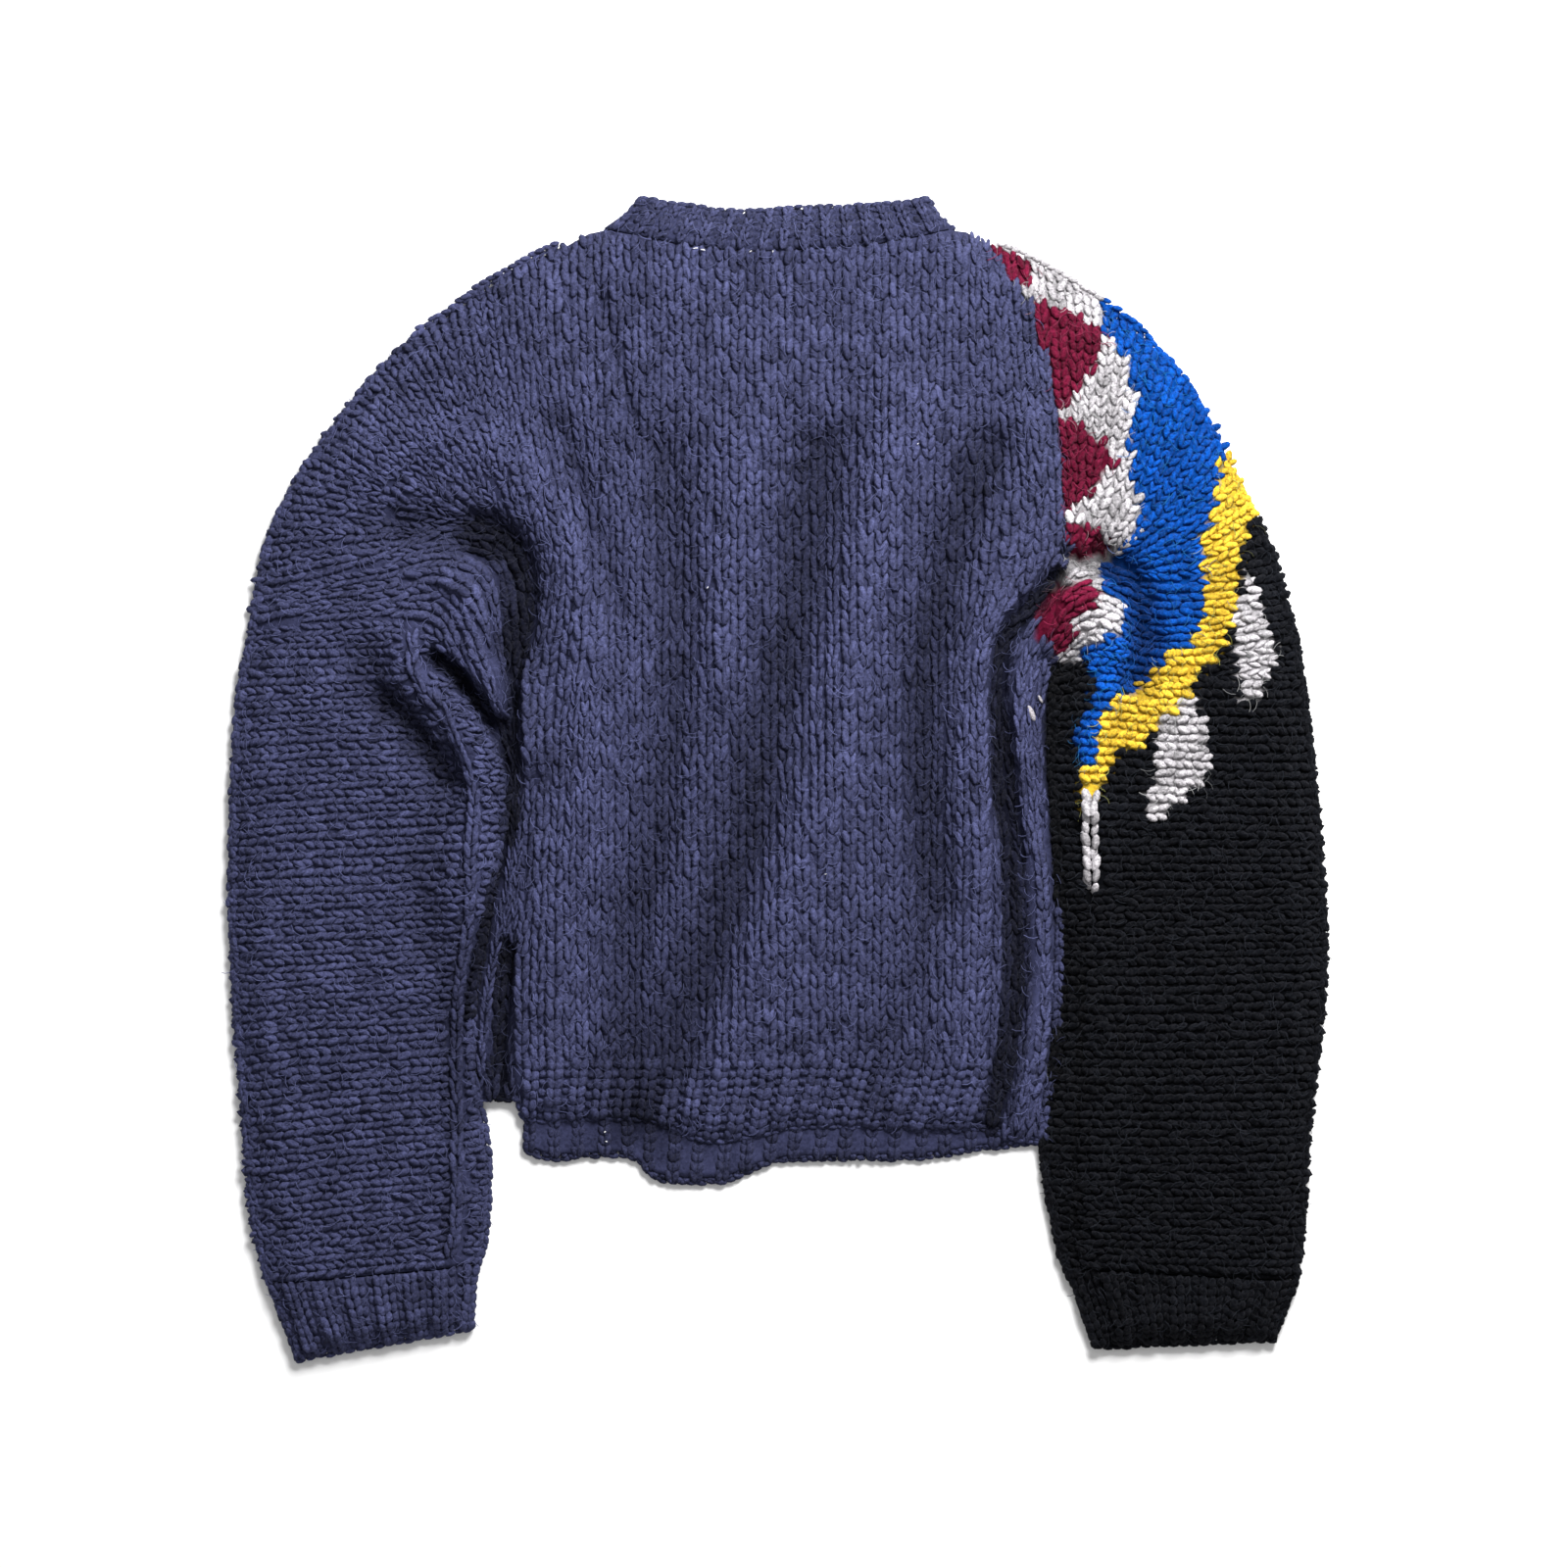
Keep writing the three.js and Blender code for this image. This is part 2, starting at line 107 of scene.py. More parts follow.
# Folds of the back layer: path, half width of the slope, height (a trough is negative)
folds = [
    # long soft folds down the back
    ([(27, 204), (18, 150), (5, 81), (-5, 33), (-13, -10), (-28, -68), (-44, -116), (-62, -164),
      (-80, -212)], 20, -12),
    ([(133, 206), (120, 177), (109, 140), (96, 91), (90, 33), (93, -20), (98, -62), (100, -78)], 16, -12.5),
    ([(94, -104), (85, -124), (69, -170), (64, -207)], 12, -6),
    ([(-136, 220), (-120, 166), (-101, 108)], 11, -6),
    ([(-72, 204), (-67, 150), (-62, 97), (-67, 33), (-77, -42), (-87, -73), (-94, -143),
      (-98, -212)], 16, -8.5),
    ([(-253, 204), (-222, 212), (-184, 206), (-165, 193), (-142, 166), (-126, 129), (-120, 81), (-120, 28),
      (-120, -10), (-128, -63), (-136, -84), (-142, -201)], 17, 8),
    ([(-30, 214), (-21, 177), (-27, 140), (-35, 97), (-37, 60)], 13, 4),
    ([(77, 241), (72, 204), (56, 150), (48, 97), (42, 44), (35, 1), (18, -36), (-8, -106), (-30, -170),
      (-51, -207)], 14, 8),
    ([(139, 108), (128, 70), (122, 38), (125, -10), (125, -42), (120, -116), (114, -207)], 12, 5),
    ([(158, 220), (163, 190)], 14, 4),
    ([(-121, 338), (-108, 290), (-97, 250), (-86, 215)], 4, -3),
    # the right side: the gap, the side rolled up beyond it and the step down to the sleeve
    ([(176, 126), (170, 119), (160, 108), (150, 97), (143, 85), (140, 70), (139, 52), (141, 30), (142, 9),
      (144, -18)], 7.5, -22),
    ([(142, 5), (146, -30), (149, -60), (150, -95), (150, -130), (147, -160), (142, -190),
      (136, -216)], 9.5, -19),
    ([(154, 75), (156, 40), (157, 10), (160, -20), (163, -50), (167, -80), (169, -110), (169, -135),
      (164, -160), (160, -185), (155, -205)], 8, 6),
    ([(179, 72), (174, 61), (169, 45), (169, 20), (171, -5), (174, -32), (177, -59), (180, -95),
      (182, -128), (179, -149), (176, -176), (173, -203)], 4, -14),
    # the left underarm: the hollow, the slit below it and the strip of the front beside the sleeve
    ([(-238, 160), (-215, 158), (-185, 154)], 14, -10),
    ([(-190, 158), (-180, 154), (-169, 147), (-162, 137), (-159, 122), (-159, 103), (-164, 85)], 10, -14),
    ([(-185, 148), (-170, 138), (-167, 120), (-168, 98), (-169, 80)], 13, -12),
    ([(-164, 88), (-167, 70), (-167, 42), (-167, 21), (-167, -13), (-170, -38)], 5.8, -22),
    ([(-173, -48), (-178, -66), (-185, -95), (-192, -125), (-197, -150)], 3.8, -19),
    ([(-166, -60), (-173, -100), (-178, -140), (-180, -200)], 12, -3),
    ([(-170, -108), (-172, -135), (-174, -165), (-174, -204)], 6, -20),
    ([(-208, 124), (-198, 118), (-190, 100), (-187, 82), (-180, 62), (-173, 42), (-168, 28)], 11, 7),
    ([(-216, 76), (-205, 68), (-195, 56), (-184, 43), (-174, 28), (-169, 10)], 6.5, -20),
    ([(-238, 84), (-232, 66), (-218, 48), (-203, 32), (-190, 8), (-185, -15), (-190, -45),
      (-195, -80)], 12, 7),
    ([(-248, 50), (-238, 42), (-228, 30), (-217, 16), (-208, 0)], 8.5, -11),
    ([(-262, 75), (-250, 50), (-215, 0), (-222, -45), (-224, -90), (-210, -130), (-205, -170),
      (-203, -212)], 14, -6),
    # the right underarm and sleeve
    ([(178, 112), (196, 112), (207, 98), (210, 78), (207, 58), (199, 38), (194, 12), (194, -20)], 11, 7),
    ([(182, 140), (195, 134), (208, 136)], 6, -8),
    ([(206, 141), (215, 132), (226, 119), (231, 100), (232, 82), (227, 64)], 11, -15),
    ([(187, 78), (183, 60), (179, 40), (177, 20)], 8, -9),
    ([(237, -41), (236, -127)], 10, -3),
]
# Sewn joins that sink a little into the knit
seamLines = [
    [(-233, 92), (-233, 68), (-227, 54), (-214, 39), (-206, 24), (-201, 9), (-195, -10), (-197, -44),
     (-199, -90), (-204, -121), (-207, -152), (-207, -199), (-206, -264), (-210, -300)],
    [(196, -70), (192, -120), (190, -190), (186, -300)],
]


# Evenly spaced points of a smooth curve through the given ones
def smooth(points, steps):
    p = np.array(points, float)
    if len(p) > 2:
        ext = np.vstack([2 * p[0] - p[1], p, 2 * p[-1] - p[-2]])
        fine = []
        for i in range(1, len(ext) - 2):
            t = np.linspace(0, 1, 12, endpoint=False)[:, None]
            a, b, c, d = ext[i - 1], ext[i], ext[i + 1], ext[i + 2]
            fine.append(0.5 * (2 * b + (c - a) * t + (2 * a - 5 * b + 4 * c - d) * t ** 2
                               + (3 * b - a - 3 * c + d) * t ** 3))
        p = np.vstack(fine + [ext[-2][None]])
    return evenly(p, steps)


def runAlong(p):
    return np.concatenate([[0], np.cumsum(np.linalg.norm(np.diff(p, axis=0), axis=1))])


def evenly(p, steps):
    run = runAlong(p)
    at = np.linspace(0, run[-1], steps + 1)
    return np.stack([np.interp(at, run, p[:, i]) for i in range(p.shape[1])], 1)


def distanceTo(path, x, y):
    best = np.full(np.shape(x), 1e9)
    p = np.array(path, float)
    for (ax, ay), (bx, by) in zip(p[:-1], p[1:]):
        dx, dy = bx - ax, by - ay
        t = np.clip(((x - ax) * dx + (y - ay) * dy) / max(dx * dx + dy * dy, 1e-9), 0, 1)
        best = np.minimum(best, np.hypot(x - ax - t * dx, y - ay - t * dy))
    return best


def edgeAt(points, x):
    p = np.array(points, float)
    return np.interp(x, p[:, 0], p[:, 1])


def softStep(v, low, high):
    t = np.clip((v - low) / (high - low), 0, 1)
    return t * t * (3 - 2 * t)


# each free edge with how sharply it rolls over, against the sleeves' own edges
sideEdges = [
    (smooth(leftOuter + leftCuff["outer"], 90), 1.0),
    (smooth(rightOuter + rightCuff["outer"], 90), 1.0),
    (smooth([(-165, -5)] + leftInner[12:] + leftLower[1:] + leftCuff["inner"], 70), 1.0),
    (smooth(rightInner[7:] + rightLower[1:] + rightCuff["inner"], 70), 1.0),
    (smooth([(-136, 338), (-119, 345), (-110, 348)] + neckEdge
            + [(112, 348), (119, 346), (136, 338)], 60), 1.3),
    (smooth([leftCuff["outer"][-1], leftCuff["inner"][-1]], 8), 1.8),
    (smooth([rightCuff["outer"][-1], rightCuff["inner"][-1]], 8), 1.8),
]
backEdges = sideEdges + [(smooth(hemEdge, 60), 1.8)]
frontEdges = sideEdges + [(smooth(frontHemEdge, 60), 1.8)]
foldLines = [(smooth(path, 24), half, height) for path, half, height in folds]


# How far in a place is from the nearest edge where the cloth rolls over
def freeEdge(x, y, edges):
    d = np.full(np.shape(x), 1e9)
    for line, sharpness in edges:
        d = np.minimum(d, distanceTo(line, x, y) * sharpness)
    return d


def foldLift(x, y):
    lift = np.zeros(np.shape(x))
    for line, half, height in foldLines:
        power = 4 if height < cloth["steep"] else 2
        lift = lift + height * np.exp(-(distanceTo(line, x, y) / half) ** power)
    return lift


# painted shade: the wool is coloured darker down in the folds, down to nearly black in the deepest gaps, and
# a little lighter on the ridges; it is also coloured darker along the sewn joins
def foldShadeAndDarkSeams(x, y):
    x, y = np.asarray(x, float), np.asarray(y, float)
    paintedShade = np.clip(1 + cloth["paintedShade"] * foldLift(x, y), 0.13, 1.2)
    for line in seamLines:
        paintedShade = paintedShade * (1 - cloth["seamDarkening"] * np.exp(-(distanceTo(line, x, y) / 2.8) ** 2))
    return paintedShade


# The quarter circle of a rolled edge: 0 at the edge, 1 from its radius inwards
def rolledOver(d, radius):
    return np.sqrt(np.clip(1 - (1 - np.clip(d / radius, 0, 1)) ** 2, 0, 1))


# Middle of the stitches of the back layer
def backTop(x, y):
    x, y = np.asarray(x, float), np.asarray(y, float)
    d = freeEdge(x, y, backEdges)
    lift = cloth["air"] + foldLift(x, y) - cloth["deepest"]
    lift = cloth["deepest"] + 0.5 * (lift + np.sqrt(lift ** 2 + 4))  # never into the front layer
    nearHem = softStep(-y, cloth["hemFrom"], cloth["hemTo"]) * (np.abs(x) < cloth["hemReach"])
    lift = lift * (1 - cloth["hemFlat"] * nearHem)
    flat = cloth["flatTop"] - cloth["sag"] + lift * softStep(d, 0, cloth["rise"])
    for line in seamLines:
        flat = flat - cloth["seamDeep"] * np.exp(-(distanceTo(line, x, y) / cloth["seamHalf"]) ** 2)
    return cloth["seamHeight"] + (flat - cloth["seamHeight"]) * rolledOver(d, cloth["edgeRoll"])


# Middle of the stitches of the front layer, on its outer side, which is underneath
def frontUnder(x, y):
    d = freeEdge(np.asarray(x, float), np.asarray(y, float), frontEdges)
    return cloth["seamHeight"] - (cloth["seamHeight"] - cloth["underZ"]) * rolledOver(d, cloth["underRoll"])


def normalsOf(height, x, y):
    e = 0.6
    gx = (height(x + e, y) - height(x - e, y)) / (2 * e)
    gy = (height(x, y + e) - height(x, y - e)) / (2 * e)
    n = np.stack([-gx, -gy, np.ones_like(gx)], 1)
    return n / np.linalg.norm(n, axis=1, keepdims=True)


# the colours of the right sleeve, knitted in as it goes
armLine = [(128, 348), (148, 313), (158, 299), (163, 289), (167, 271), (176, 238), (178, 228), (177, 202),
           (181, 167), (184, 150), (181, 138), (176, 127), (170, 117), (163, 105), (163, 88), (172, 88),
           (176, 77)]
blueToYellow = [(276, 178), (272, 160), (266, 150), (269, 128), (268, 101), (262, 90), (247, 79), (228, 57),
                (212, 49), (200, 36), (199, 8), (190, 7)]
sleeveColours = [
    ("white", [(125, 352), (230, 330), (240, 180), (240, 120), (205, 70)] + armLine[:0:-1]),
    ("blue", [(205, 311), (240, 318), (315, 240), (284, 196)] + blueToYellow + [
        (187, 18), (187, 30), (195, 48), (198, 60), (195, 72), (187, 82), (200, 86), (211, 89), (217, 100),
        (215, 110), (205, 120), (200, 129), (209, 134), (212, 142), (222, 149), (229, 166), (223, 182),
        (220, 200), (223, 220), (220, 229), (224, 240), (221, 262), (207, 281)]),
    ("burgundy", [(125, 352), (139, 335), (163, 327), (163, 320), (154, 308), (147, 315)]),
    ("burgundy", [(160, 303), (168, 300), (206, 284), (205, 271), (198, 257), (182, 233), (176, 238),
                  (167, 271), (163, 289)]),
    ("burgundy", [(176, 226), (185, 224), (214, 202), (193, 176), (182, 166), (177, 202)]),
    ("burgundy", [(183, 164), (199, 156), (211, 147), (207, 141), (184, 138)]),
    ("burgundy", [(170, 117), (175, 122), (190, 123), (207, 119), (195, 108), (188, 96), (186, 84),
                  (178, 75), (172, 88), (163, 88), (163, 105)]),
    ("yellow", [(279, 198), (300, 215), (320, 172), (299, 163), (292, 148), (291, 130), (287, 108),
                (282, 90), (276, 76), (263, 62), (264, 54), (252, 40), (236, 34), (227, 20), (212, 12),
                (203, -3), (198, -18), (188, -18)] + blueToYellow[::-1]),
    ("white", [(294, 131), (305, 114), (311, 93), (315, 80), (308, 60), (294, 44), (290, 50), (288, 69),
               (285, 98), (290, 114)]),
    ("white", [(263, 53), (249, 42), (238, 34), (236, 5), (230, -15), (235, -25), (247, -21), (257, -11),
               (272, 2), (271, 14), (267, 38)]),
]
# one white column stands upright below the yellow, whichever way the knit around it runs
whiteStripe = {"path": [(197, -71), (197, -50), (196, -35), (196, -8)], "width": 11.5, "row": 7.0,
               "lift": 1.3}


def inside(polygon, x, y):
    p = np.array(polygon, float)
    hit = np.zeros(np.shape(x), bool)
    for (ax, ay), (bx, by) in zip(p, np.roll(p, -1, axis=0)):
        crosses = (ay > y) != (by > y)
        with np.errstate(divide="ignore", invalid="ignore"):
            at = ax + (y - ay) / (by - ay) * (bx - ax)
        hit ^= crosses & (x < at)
    return hit


patternedSleeve = armLine + [(171, 62), (168, 45), (168, 20), (170, -5), (172, -32), (176, -59),
                             (178, -95), (180, -128), (177, -149), (174, -176), (172, -203), (168, -228),
                             (160, -234), (165, -330), (185, -390), (380, -380), (380, 348)]


# The colour of the yarn at a place, with the painted shade of the folds and the darker sewn joins in it; the
# front layer's colours lie under the back's
def shadedYarnAt(x, y):
    x, y = np.asarray(x, float), np.asarray(y, float)
    colour = np.tile(np.array(yarns["slate"]), (len(x), 1))
    colour[inside(patternedSleeve, x, y)] = yarns["black"]
    for name, polygon in sleeveColours:
        colour[inside(polygon, x, y)] = yarns[name]
    return colour * foldShadeAndDarkSeams(x, y)[:, None]


# the way the knit columns run, each list from its cast-on end to its far end
bodyColumns = [
    [(-166, -213), (-166, -137), (-164, -75), (-161, -13), (-161, 42), (-160, 72), (-154, 88), (-150, 104),
     (-147, 130), (-152, 165), (-164, 220), (-171, 269), (-177, 314)],
    [(-135, -215), (-134, -65), (-132, 21), (-126, 90), (-125, 145), (-135, 201), (-144, 257), (-147, 331)],
    [(-111, -214), (-111, 59), (-110, 145), (-114, 245), (-116, 344)],
    [(-60, -220), (-60, 60), (-60, 200), (-60, 335)],
    [(0, -221), (0, 60), (0, 200), (0, 331)],
    [(60, -219), (60, 60), (60, 200), (60, 335)],
    [(113, -220), (115, 59), (118, 183), (121, 344)],
    [(124, -221), (129, -65), (127, 21), (128, 71), (147, 127), (153, 183), (148, 245), (142, 335)],
    [(132, -224), (138, -160), (140, -100), (139, -34), (137, 28), (136, 60), (140, 82), (149, 97),
     (160, 110), (170, 124), (179, 146), (178, 201), (172, 257), (168, 323)],
]
leftWedge = [
    bodyColumns[0][7:],
    [(-152, 108), (-154, 135), (-162, 165), (-175, 205), (-185, 250), (-192, 306)],
]
leftFan = [
    leftWedge[1],
    [(-156, 134), (-168, 162), (-187, 192), (-208, 228), (-227, 258), (-238, 271)],
    [(-170, 156), (-194, 183), (-219, 207), (-244, 232), (-261, 249)],
    [(-190, 161), (-222, 181), (-250, 201), (-275, 220), (-284, 219)],
    [(-200, 162), (-240, 174), (-272, 183), (-303, 192)],
    [(-215, 158), (-250, 156), (-287, 157), (-320, 158)],
    [(-222, 157), (-240, 149), (-262, 141), (-294, 133), (-330, 125)],
]
leftBand = [
    [(-166, -201), (-166, -137), (-164, -75), (-162, -44), (-161, -13), (-161, 42), (-160, 72), (-155, 88),
     (-152, 104), (-154, 125), (-160, 142), (-172, 155), (-195, 161), (-220, 157), (-240, 149),
     (-262, 141), (-294, 133), (-330, 125)],
    [(-178, -201), (-174, -150), (-171, -110), (-167, -70), (-165, -34), (-165, 9), (-168, 40), (-172, 70),
     (-175, 100), (-176, 120), (-184, 138), (-205, 143), (-228, 139), (-250, 133), (-294, 124),
     (-331, 117)],
    [(-186, -201), (-184, -155), (-178, -115), (-171, -80), (-167, -45), (-166, -5), (-170, 30),
     (-178, 62), (-187, 90), (-198, 112), (-214, 122), (-235, 120), (-256, 116), (-294, 111),
     (-332, 106)],
    [(-192, -201), (-191, -160), (-186, -130), (-178, -95), (-171, -60), (-168, -13), (-174, 20),
     (-184, 42), (-196, 62), (-206, 80), (-217, 97), (-236, 101), (-256, 101), (-294, 99), (-335, 95)],
]
leftSleeve = [
    [(-206, 80), (-217, 95), (-236, 99), (-256, 99), (-294, 97), (-335, 93)],
    [(-202, 68), (-222, 78), (-244, 82), (-287, 82), (-336, 80)],
    [(-190, 50), (-212, 57), (-240, 60), (-290, 59), (-340, 57)],
    [(-176, 26), (-205, 31), (-232, 33), (-287, 33), (-343, 29)],
    [(-170, -23), (-201, -23), (-244, -25), (-294, -28), (-345, -33)],
    [(-177, -69), (-207, -69), (-256, -72), (-346, -75)],
    [(-187, -116), (-232, -118), (-287, -121), (-345, -124)],
    [(-192, -152), (-238, -155), (-294, -158), (-343, -165)],
    [(-190, -206), (-244, -209), (-294, -214), (-338, -220)],
    [(-181, -256), (-244, -261), (-335, -271)],
    [(-187, -305), (-244, -310), (-324, -317)],
]
rightWedge = [
    [(172, 126), (179, 146), (178, 201), (172, 257), (168, 322)],
    [(176, 130), (184, 158), (186, 201), (184, 251), (181, 315)],
]
rightFan = [
    rightWedge[1],
    [(188, 142), (201, 176), (212, 220), (221, 257), (227, 284)],
    [(203, 144), (221, 176), (240, 214), (255, 245), (259, 250)],
    [(214, 142), (237, 166), (261, 195), (279, 220)],
    [(221, 138), (246, 150), (274, 169), (294, 186)],
    [(228, 130), (252, 133), (280, 142), (309, 156)],
    [(232, 126), (252, 121), (280, 124), (319, 130)],
]
rightBand = [
    [(140, -226), (150, -180), (155, -140), (155, -100), (152, -60), (146, -20), (143, 20), (142, 50),
     (145, 75), (152, 90), (163, 104), (174, 118), (184, 130), (196, 138), (215, 135), (237, 124),
     (271, 122), (319, 130)],
    [(153, -226), (162, -180), (166, -130), (165, -90), (162, -50), (157, -10), (155, 30), (156, 60),
     (162, 80), (172, 98), (186, 113), (203, 117), (222, 108), (240, 101), (270, 102), (323, 110)],
    [(167, -226), (173, -180), (178, -130), (176, -90), (172, -40), (168, 0), (167, 40), (171, 62),
     (178, 76), (190, 92), (203, 96), (216, 90), (232, 82), (270, 83), (328, 92)],
]
rightSleeve = [
    [(178, 76), (190, 90), (203, 94), (216, 88), (232, 80), (270, 81), (328, 90)],
    [(174, 64), (209, 66), (230, 62), (271, 62), (333, 62)],
    [(170, 21), (240, 18), (283, 16), (339, 16)],
    [(172, -25), (240, -27), (289, -28), (343, -29)],
    [(177, -69), (252, -69), (346, -69)],
    [(179, -118), (252, -118), (347, -115)],
    [(177, -165), (252, -165), (344, -162)],
    [(169, -208), (252, -209), (338, -208)],
    [(167, -251), (252, -253), (335, -251)],
    [(180, -307), (252, -310), (330, -313)],
]
# the front layer: the same knit with nothing gathered at the underarm
underSleeveLeft = [
    [(-133, 130), (-138, 220), (-141, 300), (-144, 333)],
    [(-152, 108), (-190, 190), (-215, 250), (-228, 279)],
    [(-154, 84), (-220, 140), (-265, 180), (-297, 200)],
    [(-166, 40), (-230, 68), (-290, 84), (-335, 90)],
    [(-164, -3), (-230, 10), (-290, 16), (-344, 14)],
] + leftSleeve[4:]
underSleeveRight = [
    [(133, 130), (138, 220), (141, 300), (144, 333)],
    [(174, 108), (190, 190), (207, 250), (220, 288)],
    [(173, 84), (220, 140), (262, 180), (298, 175)],
    [(171, 40), (230, 68), (290, 84), (327, 90)],
    [(171, 0), (230, 10), (290, 16), (339, 16)],
] + rightSleeve[3:]
underBody = [
    [(-160, -200), (-158, 0), (-146, 110), (-138, 200), (-135, 337)],
    [(-60, -200), (-60, 100), (-55, 268)],
    [(0, -200), (0, 100), (0, 261)],
    [(60, -200), (60, 100), (55, 268)],
    [(164, -200), (166, 0), (166, 110), (140, 200), (135, 337)],
]


# Columns of knit between neighbouring guides. Where they crowd, every other one stops.
def columnsBetween(guides, pitch):
    steps = 60
    lines = [smooth(g, steps) for g in guides]
    columns = []
    for a, b in zip(lines[:-1], lines[1:]):
        along = np.gradient((a + b) / 2, axis=0)
        along /= np.linalg.norm(along, axis=1, keepdims=True)
        apart = np.abs((b - a)[:, 0] * along[:, 1] - (b - a)[:, 1] * along[:, 0])
        count = max(1, round(float(np.percentile(apart, 85)) / pitch))
        width = apart / count
        tight = (width < 0.62 * pitch) & (count > 1)
        tighter = (width < 0.31 * pitch) & (count > 3)
        for j in range(count):
            keep = ~tight | (j % 2 == 0)
            if j % 4 == 2:
                keep = ~tighter
            widths = np.maximum(np.where(tighter, width * 4, np.where(tight, width * 2, width)), 4)
            path = a + (b - a) * (j + 0.5) / count
            for first, last in keptRuns(keep):
                columns.append((path[first:last], widths[first:last]))
    return columns


def keptRuns(keep):
    edges = np.flatnonzero(np.diff(np.concatenate([[0], keep.astype(int), [0]])))
    return [(a, b) for a, b in zip(edges[::2], edges[1::2]) if b - a > 3]


# Stitches up each column at equal steps along the cloth itself
def stitchRows(columns, rowPitch, height, lift=0.0):
    rows = []
    for path, widths in columns:
        fine = evenly(np.column_stack([path, widths]), 160)
        spine = np.column_stack([fine[:, :2], height(fine[:, 0], fine[:, 1])])
        run = runAlong(spine)
        count = max(2, int(run[-1] / rowPitch))
        at = (np.arange(count) + 0.5) * run[-1] / count
        ends = [np.stack([np.interp(at + e, run, spine[:, k]) for k in range(3)], 1) for e in (-1.5, 1.5)]
        p = np.stack([np.interp(at, run, spine[:, k]) for k in range(2)], 1)
        rows.append(np.column_stack([p, ends[1] - ends[0], np.interp(at, run, fine[:, 2])]))
    data = np.vstack(rows)
    return {"x": data[:, 0], "y": data[:, 1], "dir": data[:, 2:5], "width": data[:, 5],
            "height": height, "lift": lift}


rng = np.random.default_rng(7)
unevenTint, unevenLean, unevenSize = 0.15, 0.06, 0.06
# against the stitch's height and width: how long, wide and thick a leg of yarn is, and its lean
leg = {"reach": 1.6, "broad": 0.52, "deep": 2.8, "lean": 0.25, "wander": 0.6}
sleeveLeg = {"reach": 1.45, "broad": 0.46, "deep": 2.8, "lean": 0.38, "wander": 0.5}
underLeg = {"reach": 1.4, "broad": 0.52, "deep": 2.4, "lean": 0.3, "wander": 0.2}
ribLeg = {"reach": 1.5, "broad": 0.62, "deep": 3.6, "lean": 0.25, "wander": 0.3}
purlLeg = {"reach": 0.85, "broad": 0.8, "deep": 2.8, "lean": 1.25, "wander": 0.3}
edgeLeg = {"reach": 1.25, "broad": 0.8, "deep": 4.0, "lean": 0.12, "wander": 0.3}
turnLeg = {"reach": 1.5, "broad": 0.85, "deep": 4.0, "lean": 0.3, "wander": 0.5}


# Two legs for each stitch: where they are, which way they point and how big they are
def legsOf(stitches, rowPitch, shape=leg, under=False, colour=None, shade=1.0):
    x, y, h = stitches["x"], stitches["y"], stitches["height"]
    z = h(x, y) + stitches["lift"]
    n = normalsOf(h, x, y)
    if under:
        n = -n
    t = stitches["dir"] / np.linalg.norm(stitches["dir"], axis=1, keepdims=True)
    s = np.cross(n, t)
    s /= np.maximum(np.linalg.norm(s, axis=1, keepdims=True), 1e-9)
    n = np.cross(t, s)
    tint = shadedYarnAt(x, y) if colour is None else np.tile(np.array(colour), (len(x), 1))
    # the front layer's outer side, underneath, has the painted fold shade taken out again
    if under:
        tint = tint / foldShadeAndDarkSeams(x, y)[:, None]
    tint = tint * shade * (1 + rng.normal(0, unevenTint, (len(x), 1)))
    out = []
    for side in (-1, 1):
        w = stitches["width"][:, None]
        centre = np.column_stack([x, y, z]) + side * s * w * 0.25
        centre = centre + rng.normal(0, shape["wander"], (len(x), 3))
        lean = shape["lean"] + rng.normal(0, unevenLean, (len(x), 1))
        along = t * np.cos(lean) + side * s * np.sin(lean)
        size = np.column_stack([np.full(len(x), shape["deep"] / 2), stitches["width"] * shape["broad"] / 2,
                                np.full(len(x), rowPitch * shape["reach"] / 2)])
        size *= 1 + rng.normal(0, unevenSize, (len(x), 1))
        if under:
            centre[:, 2] = np.maximum(centre[:, 2], size[:, 0] + 0.1)
        out.append((centre, along, n, size, tint))
    return [np.vstack([a, b]) for a, b in zip(*out)]


# materials
def newMaterial(name):
    material = bpy.data.materials.new(name)
    material.use_nodes = True
    material.node_tree.nodes.clear()
    return material


# A node with its settings, and its inputs joined to sockets or given values
def addNode(tree, kind, given=None, **settings):
    node = tree.nodes.new(kind)
    for key, value in settings.items():
        setattr(node, key, value)
    for key, value in (given or {}).items():
        if isinstance(value, bpy.types.NodeSocket):
            tree.links.new(value, node.inputs[key])
        else:
            node.inputs[key].default_value = value
    return node


def noise(tree, place, scale, detail, roughness=0.5):
    return addNode(tree, "ShaderNodeTexNoise", {
        "Vector": place, "Scale": scale, "Detail": detail, "Roughness": roughness}).outputs["Fac"]


def maths(tree, operation, *given):
    return addNode(tree, "ShaderNodeMath", dict(enumerate(given)), operation=operation).outputs[0]


def vectorMaths(tree, operation, given):
    return addNode(tree, "ShaderNodeVectorMath", given, operation=operation).outputs[0]


